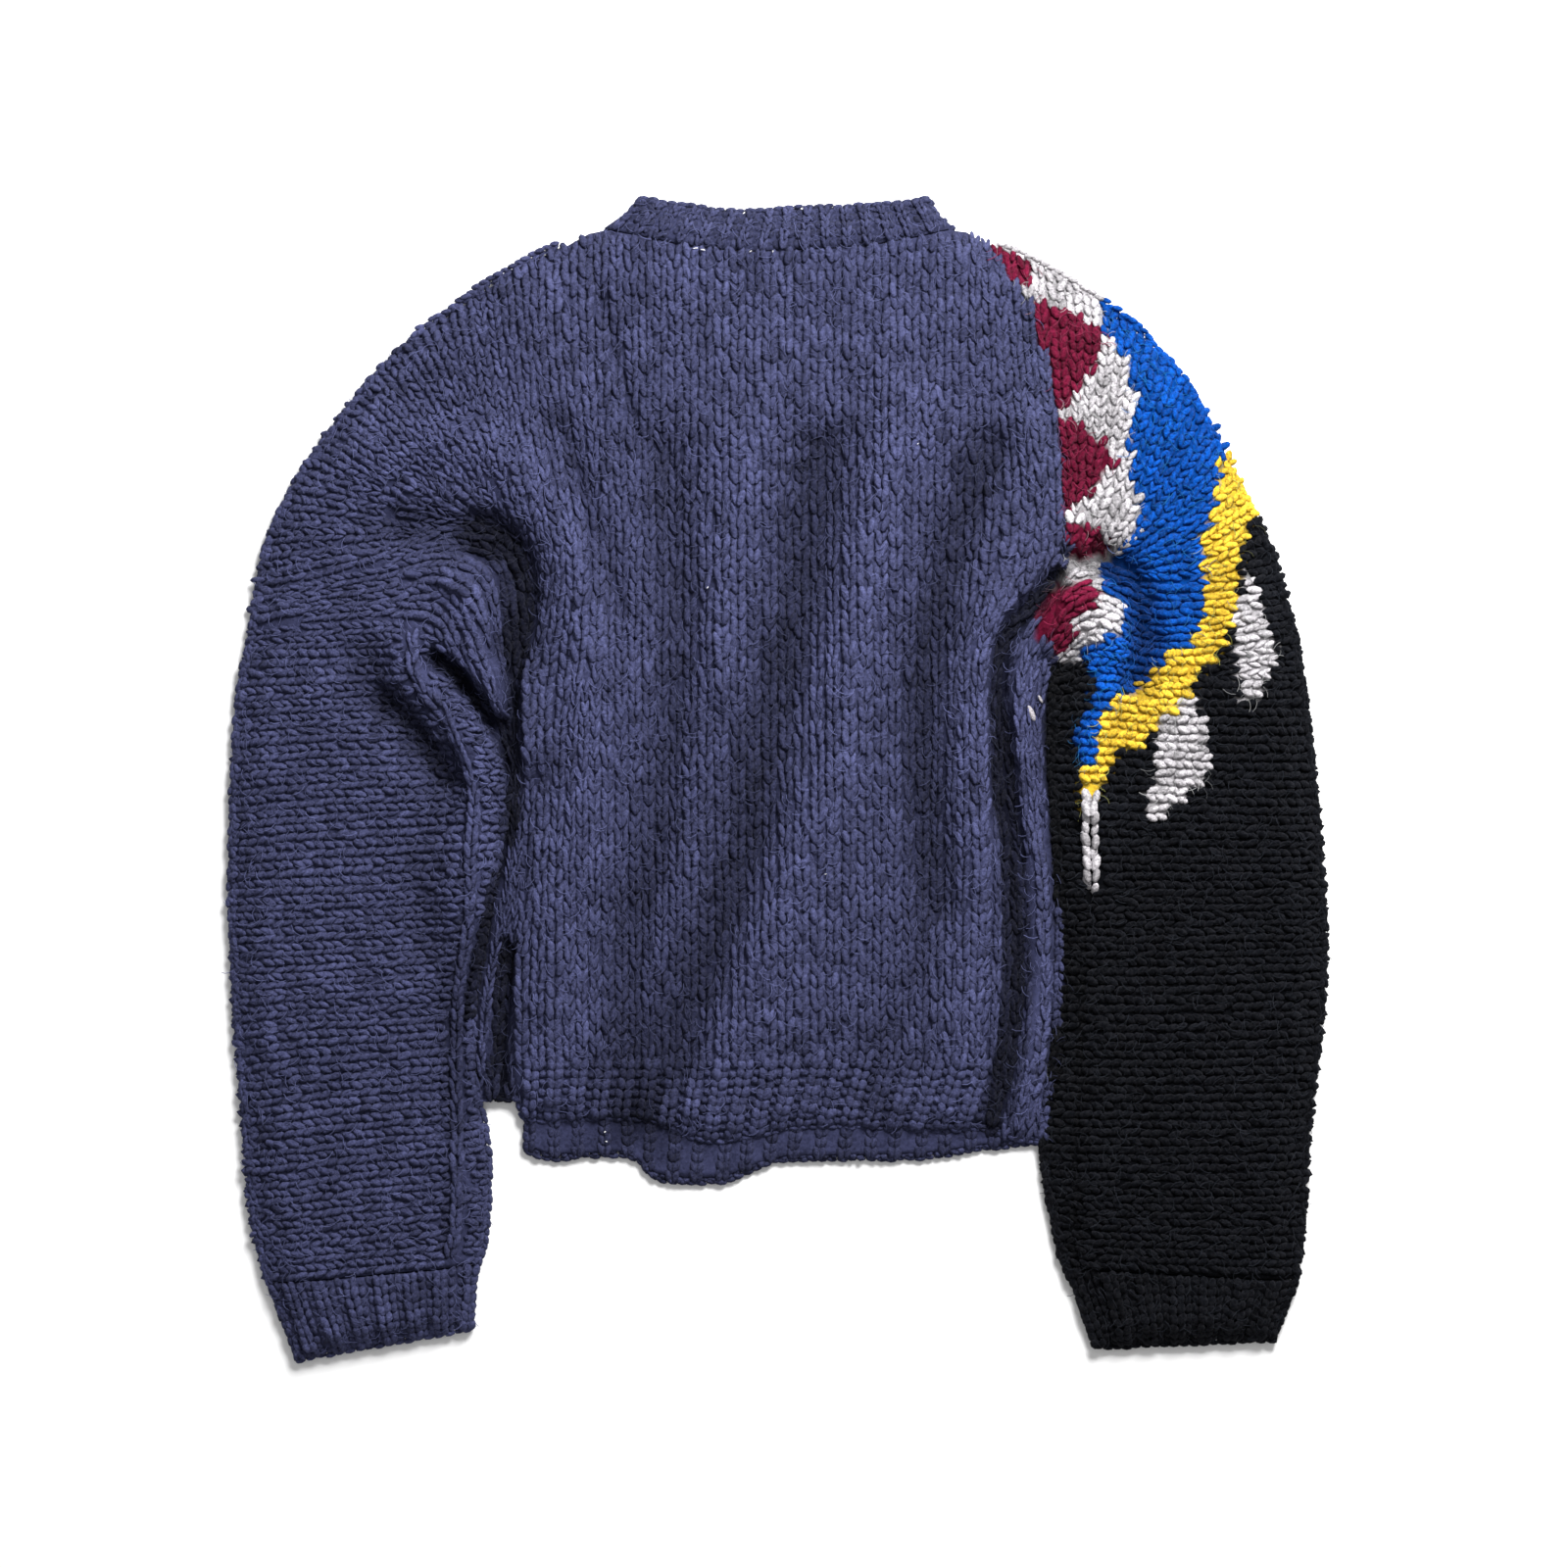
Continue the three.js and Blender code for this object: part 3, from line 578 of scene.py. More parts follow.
# Spun wool: the yarn's own colour, uneven dye, fibres as bump and a soft sheen
def woolMaterial(name, finish):
    material = newMaterial(name)
    tree = material.node_tree
    tint = addNode(tree, "ShaderNodeAttribute", attribute_name="tint").outputs["Color"]
    place = addNode(tree, "ShaderNodeTexCoord").outputs["Object"]
    mottle = noise(tree, place, finish["mottleScale"], 3)
    fibre = noise(tree, place, finish["fibreScale"], 4, 0.7)
    uneven = finish["fibreShade"]
    shade = addNode(tree, "ShaderNodeMapRange", {
        "Value": maths(tree, "MULTIPLY_ADD", fibre, uneven, mottle),
        "From Min": 0.35 + 0.35 * uneven, "From Max": 0.65 + 0.65 * uneven,
        "To Min": finish["darkest"], "To Max": finish["lightest"]})
    # single strands: the thin lines along which a noise crosses its middle value
    strand = noise(tree, place, finish["strandScale"], 1)
    offMiddle = maths(tree, "ABSOLUTE", maths(tree, "SUBTRACT", strand, 0.5))
    line = addNode(tree, "ShaderNodeMapRange", {
        "Value": offMiddle, "From Min": 0.0, "From Max": finish["strandWidth"],
        "To Min": finish["strandPale"], "To Max": 0.0})
    dyed = vectorMaths(tree, "SCALE", {0: tint, "Scale": shade.outputs[0]})
    pale = vectorMaths(tree, "MULTIPLY_ADD", {0: tint, 1: (0.8, 0.8, 0.8), 2: (0.012, 0.0115, 0.0125)})
    fuzzed = vectorMaths(tree, "MULTIPLY_ADD", {0: line.outputs[0], 1: pale, 2: dyed})
    bump = addNode(tree, "ShaderNodeBump", {
        "Strength": finish["bump"], "Distance": finish["bumpHeight"], "Height": fibre})
    surface = addNode(tree, "ShaderNodeBsdfPrincipled", {
        "Base Color": fuzzed, "Roughness": finish["roughness"], "Specular IOR Level": 0.04,
        "Sheen Weight": finish["sheen"], "Sheen Roughness": 0.5, "Sheen Tint": (*finish["sheenTint"], 1),
        "Normal": bump.outputs[0]})
    addNode(tree, "ShaderNodeOutputMaterial", {0: surface.outputs[0]})
    return material


stitchWool = woolMaterial("stitch wool", {
    "roughness": 0.95, "sheen": 0.03, "sheenTint": (0.75, 0.78, 0.95), "mottleScale": 45, "fibreScale": 620,
    "fibreShade": 2.4, "darkest": 0.4, "lightest": 1.45, "bump": 1.0, "bumpHeight": 0.0014,
    "strandScale": 300, "strandPale": 0.4, "strandWidth": 0.1})
# the backing is painted darker than the stitch wool: painted shade between and under the stitches and on the
# floors of the gaps
shadedBackingWool = woolMaterial("shaded backing wool", {
    "roughness": 1.0, "sheen": 0.02, "sheenTint": (0.75, 0.78, 0.95), "mottleScale": 60, "fibreScale": 480,
    "fibreShade": 1.0, "darkest": 0.3, "lightest": 0.9, "bump": 0.6, "bumpHeight": 0.0008, "strandScale": 240,
    "strandPale": 0.15, "strandWidth": 0.07})
hairWool = woolMaterial("loose hair", {
    "roughness": 0.9, "sheen": 0.05, "sheenTint": (0.8, 0.83, 1.0), "mottleScale": 90, "fibreScale": 400,
    "fibreShade": 0.5, "darkest": 0.9, "lightest": 1.6, "bump": 0.1, "bumpHeight": 0.0005, "strandScale": 240,
    "strandPale": 0.0, "strandWidth": 0.05})
print("wool materials made")


# meshes
def meshObject(name, vertices, faces, material, tint=None):
    mesh = bpy.data.meshes.new(name)
    mesh.from_pydata((np.asarray(vertices) * mm).tolist(), [], faces)
    mesh.update()
    if tint is not None:
        layer = mesh.attributes.new("tint", "FLOAT_COLOR", "POINT")
        colour = np.column_stack([tint, np.ones(len(tint))]).astype(np.float32)
        layer.data.foreach_set("color", colour.ravel())
    obj = bpy.data.objects.new(name, mesh)
    bpy.context.scene.collection.objects.link(obj)
    if material:
        mesh.materials.append(material)
    for polygon in mesh.polygons:
        polygon.use_smooth = True
    return obj


# A closed sheet of cloth over a grid of plan points, rows away from the neck, columns to +X
def wall(name, grid, upper, lower, tint=None):
    rows, columns = grid.shape[:2]
    x, y = grid[..., 0].ravel(), grid[..., 1].ravel()
    top = np.column_stack([x, y, upper])
    bottom = np.column_stack([x, y, lower])
    n = rows * columns
    at = lambda layer, r, c: layer * n + r * columns + c
    faces = []
    for r in range(rows - 1):
        for c in range(columns - 1):
            faces.append((at(0, r, c), at(0, r + 1, c), at(0, r + 1, c + 1), at(0, r, c + 1)))
            faces.append((at(1, r, c), at(1, r, c + 1), at(1, r + 1, c + 1), at(1, r + 1, c)))
        last = columns - 1
        faces.append((at(0, r, 0), at(1, r, 0), at(1, r + 1, 0), at(0, r + 1, 0)))
        faces.append((at(0, r, last), at(0, r + 1, last), at(1, r + 1, last), at(1, r, last)))
    for c in range(columns - 1):
        last = rows - 1
        faces.append((at(0, 0, c), at(0, 0, c + 1), at(1, 0, c + 1), at(1, 0, c)))
        faces.append((at(0, last, c), at(1, last, c), at(1, last, c + 1), at(0, last, c + 1)))
    colour = shadedYarnAt(x, y) if tint is None else np.tile(np.array(tint), (n, 1))
    return meshObject(name, np.vstack([top, bottom]), faces, shadedBackingWool, np.vstack([colour, colour]))


def gridBetween(a, b, columns):
    t = np.linspace(0, 1, columns + 1)[None, :, None]
    return a[:, None, :] * (1 - t) + b[:, None, :] * t


# one leg of a stitch, repeated by Geometry Nodes
def addInput(tree, name, kind, value=None):
    socket = tree.interface.new_socket(name, in_out="INPUT", socket_type=kind)
    if value is not None:
        socket.default_value = value
    return socket


def namedVector(tree, name):
    named = addNode(tree, "GeometryNodeInputNamedAttribute", {"Name": name}, data_type="FLOAT_VECTOR")
    return named.outputs["Attribute"]


# Z along the first way, X as near as it can be to the second
def turnedTo(tree, along, across):
    return addNode(tree, "FunctionNodeAxesToRotation", {"Primary Axis": along, "Secondary Axis": across},
                   primary_axis="Z", secondary_axis="X").outputs[0]


# One shape on each point, turned and sized, then made real
def putOn(tree, points, shape, turn, size):
    put = addNode(tree, "GeometryNodeInstanceOnPoints", {
        "Points": points, "Instance": shape, "Rotation": turn, "Scale": size})
    return addNode(tree, "GeometryNodeRealizeInstances", {0: put.outputs[0]}).outputs[0]


# The tree ends by giving what it made its yarn
def yarned(tree, made, yarn):
    finish = addNode(tree, "GeometryNodeSetMaterial", {0: made, "Material": yarn})
    addNode(tree, "NodeGroupOutput", {0: finish.outputs[0]})


# Puts one rounded leg of yarn on each point, turned and sized by the point's own values
def stitchTree():
    tree = bpy.data.node_groups.new("yarn legs", "GeometryNodeTree")
    addInput(tree, "Points", "NodeSocketGeometry")
    addInput(tree, "Sides", "NodeSocketInt", 5)
    addInput(tree, "Rings", "NodeSocketInt", 4)
    addInput(tree, "Unevenness", "NodeSocketFloat", 0.08)
    addInput(tree, "Seed", "NodeSocketInt", 3)
    addInput(tree, "Yarn", "NodeSocketMaterial")
    tree.interface.new_socket("Stitches", in_out="OUTPUT", socket_type="NodeSocketGeometry")
    given = addNode(tree, "NodeGroupInput").outputs
    legShape = addNode(tree, "GeometryNodeMeshUVSphere", {
        "Segments": given["Sides"], "Rings": given["Rings"], "Radius": 1.0})
    turn = turnedTo(tree, namedVector(tree, "along"), namedVector(tree, "out"))
    least = maths(tree, "SUBTRACT", 1.0, given["Unevenness"])
    most = maths(tree, "ADD", 1.0, given["Unevenness"])
    uneven = addNode(tree, "FunctionNodeRandomValue", {2: least, 3: most, "Seed": given["Seed"]},
                     data_type="FLOAT")
    sized = vectorMaths(tree, "SCALE", {0: namedVector(tree, "size"), "Scale": uneven.outputs[1]})
    real = putOn(tree, given["Points"], legShape.outputs["Mesh"], turn, sized)
    soft = addNode(tree, "GeometryNodeSetShadeSmooth", {0: real})
    yarned(tree, soft.outputs[0], given["Yarn"])
    return tree


# Scatters thin curved hairs over a carrier surface, most of them lying nearly flat
def hairTree():
    tree = bpy.data.node_groups.new("loose hairs", "GeometryNodeTree")
    addInput(tree, "Carrier", "NodeSocketGeometry")
    addInput(tree, "Hairs per square metre", "NodeSocketFloat", 9000.0)
    addInput(tree, "Length", "NodeSocketFloat", 0.009)
    addInput(tree, "Thickness", "NodeSocketFloat", 0.00016)
    addInput(tree, "Seed", "NodeSocketInt", 5)
    addInput(tree, "Yarn", "NodeSocketMaterial")
    tree.interface.new_socket("Hairs", in_out="OUTPUT", socket_type="NodeSocketGeometry")
    given = addNode(tree, "NodeGroupInput").outputs
    scatter = addNode(tree, "GeometryNodeDistributePointsOnFaces", {
        "Mesh": given["Carrier"], "Density": given["Hairs per square metre"], "Seed": given["Seed"]})
    strand = addNode(tree, "GeometryNodeCurveQuadraticBezier", {
        "Resolution": 2, "Start": (0, 0, -0.05), "Middle": (0.5, 0.28, 0.34), "End": (1.0, 0.0, 0.02)})
    section = addNode(tree, "GeometryNodeCurvePrimitiveCircle", {
        "Resolution": 3, "Radius": maths(tree, "DIVIDE", given["Thickness"], given["Length"])})
    tube = addNode(tree, "GeometryNodeCurveToMesh", {
        "Curve": strand.outputs[0], "Profile Curve": section.outputs[0], "Fill Caps": True})
    heading = addNode(tree, "FunctionNodeRandomValue", {
        0: (-1, -1, -1), 1: (1, 1, 1), "Seed": given["Seed"]}, data_type="FLOAT_VECTOR")
    turn = turnedTo(tree, scatter.outputs["Normal"], heading.outputs[0])
    spread = addNode(tree, "FunctionNodeRandomValue", {2: 0.45, 3: 1.5, "Seed": given["Seed"]},
                     data_type="FLOAT")
    size = maths(tree, "MULTIPLY", spread.outputs[1], given["Length"])
    real = putOn(tree, scatter.outputs["Points"], tube.outputs[0], turn, size)
    yarned(tree, real, given["Yarn"])
    return tree


# Runs a tree on a carrier, keeps the result as a plain mesh and removes the carrier
def grown(name, carrier, tree, settings):
    modifier = carrier.modifiers.new(tree.name, "NODES")
    modifier.node_group = tree
    for item in tree.interface.items_tree:
        if item.item_type == "SOCKET" and item.in_out == "INPUT" and item.name in settings:
            modifier[item.identifier] = settings[item.name]
    graph = bpy.context.evaluated_depsgraph_get()
    mesh = bpy.data.meshes.new_from_object(carrier.evaluated_get(graph), depsgraph=graph)
    carrier.modifiers.remove(modifier)
    bpy.data.objects.remove(carrier)
    mesh.name = name
    obj = bpy.data.objects.new(name, mesh)
    bpy.context.scene.collection.objects.link(obj)
    return obj


yarnLegs = stitchTree()
looseHairs = hairTree()


# Nothing of the front layer sinks into the floor
def settled(obj):
    place = np.empty(len(obj.data.vertices) * 3, np.float32)
    obj.data.vertices.foreach_get("co", place)
    place[2::3] = np.maximum(place[2::3], 0.0)
    obj.data.vertices.foreach_set("co", place)
    obj.data.update()


def stitchPiece(name, legs, sides, rings, seed):
    centre, along, out, size, tint = legs
    points = meshObject(name + " points", centre, [], None, tint)
    for key, values, factor in (("along", along, 1), ("out", out, 1), ("size", size, mm)):
        layer = points.data.attributes.new(key, "FLOAT_VECTOR", "POINT")
        layer.data.foreach_set("vector", (values * factor).astype(np.float32).ravel())
    return grown(name, points, yarnLegs, {
        "Sides": sides, "Rings": rings, "Unevenness": 0.07, "Seed": seed, "Yarn": stitchWool})


# camera, floor and light
view = {"x": 0.004, "y": -0.0034, "lens": 90.0, "sensor": 36.0, "span": 0.992}
camera = bpy.data.objects.new("camera", bpy.data.cameras.new("camera"))
camera.data.lens = view["lens"]
camera.data.sensor_width = view["sensor"]
camera.location = (view["x"], view["y"], view["span"] * view["lens"] / view["sensor"])
camera.data.clip_end = 20
bpy.context.scene.collection.objects.link(camera)
bpy.context.scene.camera = camera

bpy.ops.mesh.primitive_plane_add(size=8, location=(0, 0, -0.0006))
floor = bpy.context.object
floor.name = "floor"
floorMaterial = newMaterial("pale floor")
floorShader = addNode(floorMaterial.node_tree, "ShaderNodeBsdfPrincipled", {
    "Base Color": (0.99, 0.99, 0.99, 1), "Roughness": 0.9})
addNode(floorMaterial.node_tree, "ShaderNodeOutputMaterial", {0: floorShader.outputs[0]})
floor.data.materials.append(floorMaterial)


def softLight(name, place, size, watts, target=(0, 0, 0)):
    light = bpy.data.lights.new(name, "AREA")
    light.shape = "SQUARE"
    light.size = size
    light.energy = watts
    obj = bpy.data.objects.new(name, light)
    obj.location = place
    obj.rotation_euler = (Vector(target) - Vector(place)).to_track_quat("-Z", "Y").to_euler()
    bpy.context.scene.collection.objects.link(obj)


softLight("key", (0.5, 1.1, 1.2), 0.7, 62)
softLight("fill", (0.0, 0.0, 2.9), 2.0, 9)
world = bpy.data.worlds.new("studio")
world.use_nodes = True
world.node_tree.nodes["Background"].inputs[0].default_value = (1, 1, 1, 1)
world.node_tree.nodes["Background"].inputs[1].default_value = 0.32
bpy.context.scene.world = world
bpy.context.scene.view_settings.view_transform = "Standard"
print("camera, floor and lights set")

# the cloth sheets: their stitches stand on them
bodyRows, lowerRows = 110, 32
bodyEndY = -181      # where the back's body ends and its hem rib starts
frontHemTopY = -201


# The free side of an outline moved in, so that the stitches make the edge
def drawnIn(line, towards, free):
    way = towards - line
    way /= np.linalg.norm(way, axis=1, keepdims=True)
    return line + way * cloth["inset"] * np.asarray(free, float).reshape(-1, 1)


lineOf = {}
freeBelow = {"left": (0, 40), "right": (180, 200)}  # how far down the inner edge comes free of the body
for side, inner, lower, outer in (("left", leftInner, leftLower, leftOuter),
                                  ("right", rightInner, rightLower, rightOuter)):
    near = np.vstack([smooth(inner, bodyRows), smooth(lower, lowerRows)[1:]])
    far = smooth(outer, bodyRows + lowerRows)
    lineOf[side] = (drawnIn(near, far, softStep(-near[:, 1], *freeBelow[side])),
                    drawnIn(far, near, np.ones(len(far))), near)
cuffs = {"left": leftCuff, "right": rightCuff}
sheets = {}
grids = {}


def backSheet(name, grid, drop=1.0):
    x, y = grid[..., 0].ravel(), grid[..., 1].ravel()
    top = np.maximum(backTop(x, y) - drop, cloth["backFloor"] + 0.25)
    bottom = np.minimum(np.maximum(top - cloth["wall"], cloth["backFloor"]), top - 0.2)
    sheets[name] = wall(name, grid, top, bottom)
    grids[name] = grid


def frontSheet(name, grid):
    x, y = grid[..., 0].ravel(), grid[..., 1].ravel()
    bottom = np.minimum(frontUnder(x, y) - 0.1, cloth["frontCeiling"] - 0.3)
    sheets[name] = wall(name, grid, np.minimum(bottom + cloth["wall"], cloth["frontCeiling"]), bottom)
    grids[name] = grid


def bodyGrid(columns, low=None):
    left, right = lineOf["left"][2][:bodyRows + 1], lineOf["right"][2][:bodyRows + 1]
    grid = gridBetween(left, right, columns)
    top = edgeAt(neckSeam, grid[..., 0])
    reach = 30
    if low is not None:
        top = np.minimum(top, np.interp(grid[..., 0], low[:, 0], low[:, 1], left=350, right=350))
        reach = 60
    share = np.clip(1 - np.arange(bodyRows + 1) / reach, 0, 1)[:, None]
    grid[..., 1] += share * (top - neckSeam[0][1])
    return grid


def sleeveGrid(side, columns):
    inner, outer = lineOf[side][:2]
    grid = gridBetween(inner, outer, columns)
    return grid[:, ::-1] if side == "left" else grid


def cuffGrid(side, columns):
    inner, outer = smooth(cuffs[side]["inner"], 12), smooth(cuffs[side]["outer"], 12)
    inner, outer = drawnIn(inner, outer, np.ones(13)), drawnIn(outer, inner, np.ones(13))
    inner[-1, 1] += cloth["inset"]
    outer[-1, 1] += cloth["inset"]
    grid = gridBetween(inner, outer, columns)
    return grid[:, ::-1] if side == "left" else grid


def hemGrid(left, right, top, edge, rows, columns):
    x = np.linspace(left, right, columns + 1)
    t = np.linspace(0, 1, rows + 1)[:, None]
    y = top + (edgeAt(edge, x) + cloth["inset"] - top) * t
    return np.stack([np.broadcast_to(x, y.shape), y], 2)


# faces across each sheet, finer where it is seen
across = {"backBody": 76, "frontBody": 38, "backSleeve": 36, "frontSleeve": 22, "backCuff": 30,
          "frontCuff": 20, "backHem": 84, "frontHem": 60}
neckLow = smooth(frontNeckSeam, 60)
backSheet("backBody", bodyGrid(across["backBody"]))
frontSheet("frontBody", bodyGrid(across["frontBody"], neckLow))
for side in ("left", "right"):
    backSheet("backSleeve." + side, sleeveGrid(side, across["backSleeve"]))
    frontSheet("frontSleeve." + side, sleeveGrid(side, across["frontSleeve"]))
    backSheet("backCuff." + side, cuffGrid(side, across["backCuff"]))
    frontSheet("frontCuff." + side, cuffGrid(side, across["frontCuff"]))
backSheet("backHem", hemGrid(-188, 170, bodyEndY + 0.5, hemEdge, 12, across["backHem"]))
frontSheet("frontHem", hemGrid(-158, 169, frontHemTopY, frontHemEdge, 14, across["frontHem"]))
neckLine = np.linspace(-108, 108, 61)
neckLine = np.stack([neckLine, edgeAt(neckSeam, neckLine) + 0.8], 1)
neckTop = smooth(neckEdge, 60) - [0, cloth["inset"]]
backSheet("backNeck", gridBetween(neckTop, neckLine, 8).transpose(1, 0, 2))
neckFront = gridBetween(smooth(frontNeckEdge, 60), neckLow * [0.985, 1] + [0, 0.8], 6)
frontSheet("frontNeck", neckFront.transpose(1, 0, 2))
print("cloth sheets laid:", len(sheets))

# stitches
knit = {"bodyWidth": 9.3, "bodyRow": 6.9, "sleeveWidth": 10.5, "sleeveRow": 6.2, "ribRow": 5.6,
        "underWidth": 12.0, "underRow": 8.6}
# how many ribs, how far knit stands and purl sinks, the knit's share of a rib and the painted shade of the
# purl in its groove
ribs = {
    "neck": {"count": 16, "stand": 0.9, "sink": 1.5, "narrow": 0.42, "paintedPurlShade": 0.75},
    "hem": {"count": 20, "stand": 0.8, "sink": 0.4, "narrow": 0.68, "paintedPurlShade": 0.8},
    "cuff": {"count": 7, "stand": 0.8, "sink": 1.0, "narrow": 0.5, "paintedPurlShade": 0.85},
    "hemInside": {"count": 21, "stand": 0.6, "sink": 0.9, "narrow": 0.5, "paintedPurlShade": 0.75},
}
for key, count in (("neckUnder", 20), ("hemUnder", 21), ("cuffUnder", 7)):
    ribs[key] = {"count": count, "stand": 0.2, "sink": 0.5, "narrow": 0.5, "paintedPurlShade": 0.75}


def only(stitches, keep):
    return {key: value[keep] if isinstance(value, np.ndarray) else value for key, value in stitches.items()}


def joined(*several):
    return [np.vstack(parts) for parts in zip(*several)]


def part(legs, keep):
    return [values[keep] for values in legs]


# Rib: standing knit columns with sunken purl columns between them, the purl painted darker as shade in its
# groove
def ribLegs(near, far, kind, height, under=False):
    rib = ribs[kind]
    a, b = smooth(near, 200), smooth(far, 200)
    wide = np.linalg.norm((a[-1] - a[0]) + (b[-1] - b[0])) / 2 / rib["count"]
    ridges, grooves = [], []
    for i in range(2 * rib["count"]):
        at = int(round((i + 0.5) / (2 * rib["count"]) * 200))
        path = evenly(np.array([a[at], b[at]]), 20)
        share = rib["narrow"] if i % 2 == 0 else 1.1 - rib["narrow"]
        (ridges if i % 2 == 0 else grooves).append((path, np.full(21, wide * share)))
    sign = -1 if under else 1
    high = stitchRows(ridges, knit["ribRow"], height, sign * rib["stand"])
    deep = stitchRows(grooves, knit["ribRow"], height, -sign * rib["sink"])
    shape = underLeg if under else ribLeg
    return joined(legsOf(high, knit["ribRow"], shape, under),
                  legsOf(deep, knit["ribRow"], purlLeg, under, shade=rib["paintedPurlShade"]))


# One column of stitches along a path
def columnLegs(path, width, row, height, lift, shape=leg, colour=None):
    stitches = stitchRows([(path, np.full(len(path), width))], row, height, lift)
    return legsOf(stitches, row, shape, colour=colour)


# A bound-off edge: one small loop after another along it
def edgeLegs(line, height, lift):
    return columnLegs(smooth(line, 80), 5.0, 6.0, height, lift, edgeLeg)


# the turn of each free edge, filled between the ends of its columns
turned = {"left": [sideEdges[0][0], sideEdges[2][0]], "right": [sideEdges[1][0], sideEdges[3][0]]}


def turnLegs(line, towards):
    way = towards - line
    way /= np.maximum(np.linalg.norm(way, axis=1, keepdims=True), 1e-6)
    return columnLegs(line + way * 2.4, 5.0, 5.0, backTop, -0.6, turnLeg)


sleeveMiddle = [(-225, 330), (-255, 100), (-262, -100), (-250, -360)]
backLegs = {}
body = stitchRows(columnsBetween(bodyColumns, knit["bodyWidth"]), knit["bodyRow"], backTop)
body = only(body, body["y"] > bodyEndY)
backLegs["body"] = legsOf(body, knit["bodyRow"])
gap = columnsBetween([[p for p in bodyColumns[8] if p[1] < 128], rightBand[0][:12]], knit["bodyWidth"])
bands = [stitchRows(columnsBetween(leftBand, knit["bodyWidth"]), knit["bodyRow"], backTop),
         stitchRows(gap + columnsBetween(rightBand, knit["bodyWidth"]), knit["bodyRow"], backTop)]
backLegs["leftBand"] = legsOf(bands[0], knit["bodyRow"])
backLegs["rightBand"] = legsOf(bands[1], knit["bodyRow"])
sleeveGuides = {"left": [leftWedge, leftFan, leftSleeve], "right": [rightWedge, rightFan, rightSleeve]}
stripe = smooth(whiteStripe["path"], 30)
# the sewn join down the left sleeve has one upright column beside it
joinKnit = {"offset": 4.5, "width": 8.0, "row": 6.5, "lift": 0.3, "clear": 5.6}
join = smooth(seamLines[0], 60)
ahead = np.gradient(join, axis=0)
ahead /= np.linalg.norm(ahead, axis=1, keepdims=True)
joinColumn = join + np.column_stack([-ahead[:, 1], ahead[:, 0]]) * joinKnit["offset"]
for side, sets in sleeveGuides.items():
    alone, clear = (stripe, whiteStripe["width"] / 2) if side == "right" else (joinColumn, joinKnit["clear"])
    rows = [stitchRows(columnsBetween(g, knit["sleeveWidth"]), knit["sleeveRow"], backTop) for g in sets]
    rows = [only(r, distanceTo(alone, r["x"], r["y"]) > clear) for r in rows]
    several = [legsOf(r, knit["sleeveRow"], sleeveLeg) for r in rows]
    if side == "left":
        several.append(columnLegs(joinColumn[::-1], joinKnit["width"], joinKnit["row"], backTop,
                                  joinKnit["lift"]))
    else:
        several.append(columnLegs(stripe, whiteStripe["width"], whiteStripe["row"], backTop,
                                  whiteStripe["lift"], colour=yarns["white"]))
    middle = smooth(sleeveMiddle, 60) * [1 if side == "left" else -1, 1]
    for line in turned[side]:
        nearest = np.argmin(np.linalg.norm(line[:, None] - middle[None], axis=2), axis=1)
        several.append(turnLegs(line, middle[nearest]))
    backLegs[side + "Sleeve"] = joined(*several)
print("back stitches:", {key: len(value[0]) for key, value in backLegs.items()})

pieces = {}
# sides and rings of one leg: rounder where it is seen, plain underneath
seen, unseen = (5, 4), (4, 3)


def addStitches(name, legs, roundness, seed):
    pieces[name] = stitchPiece(name, legs, *roundness, seed)


half = backLegs["body"][0][:, 0] < 0
addStitches("stitches.bodyLeft", joined(part(backLegs["body"], half), backLegs["leftBand"]), seen, 11)
addStitches("stitches.bodyRight", joined(part(backLegs["body"], ~half), backLegs["rightBand"]), seen, 12)
for side in ("left", "right"):
    addStitches("stitches.sleeve." + side, backLegs[side + "Sleeve"], seen, 13)

# ribs at the neck, hem and cuffs
neckFoot = [(x, float(edgeAt(neckSeam, x)) + 1.5) for x in (-106, -60, -8, 50, 88, 106)]
neck = joined(ribLegs(neckFoot, neckEdge, "neck", backTop), edgeLegs(neckEdge, backTop, -0.5))
neck[4] = neck[4] * 0.86  # a little darker than the body
addStitches("stitches.neck", neck, seen, 14)
hemTop = [(x, bodyEndY + 4) for x in (-157, 0, 142)]
hem = joined(ribLegs(hemEdge[2:-2], hemTop, "hem", backTop), edgeLegs(hemEdge, backTop, -0.5))
addStitches("stitches.hem", hem, seen, 15)
cuffEnds = {}
for side, cuff in cuffs.items():
    foot = [cuff["inner"][-1], cuff["outer"][-1]]
    cuffEnds[side] = (foot, [cuff["inner"][0], cuff["outer"][0]])
    rib = joined(ribLegs(*cuffEnds[side], "cuff", backTop), edgeLegs(foot, backTop, -0.5))
    addStitches("stitches.cuff." + side, rib, seen, 16)
print("ribs made")


# the front layer's hem shows its inner side below the back's
def frontHemTop(x, y):
    d = freeEdge(np.asarray(x, float), np.asarray(y, float), frontEdges)
    return cloth["hemInsideZ"] + 1.2 * rolledOver(d, cloth["underRoll"])


frontHemTopLine = [(-160, frontHemTopY), (165, frontHemTopY)]
innerHem = joined(ribLegs(frontHemEdge, frontHemTopLine, "hemInside", frontHemTop),
                  edgeLegs(frontHemEdge, frontHemTop, -0.3))
innerHem = part(innerHem, innerHem[0][:, 1] < edgeAt(hemEdge, innerHem[0][:, 0]) + 3)
innerHem[4] = innerHem[4] * 0.6  # in the shade of the back's hem
addStitches("stitches.hemInside", innerHem, seen, 17)

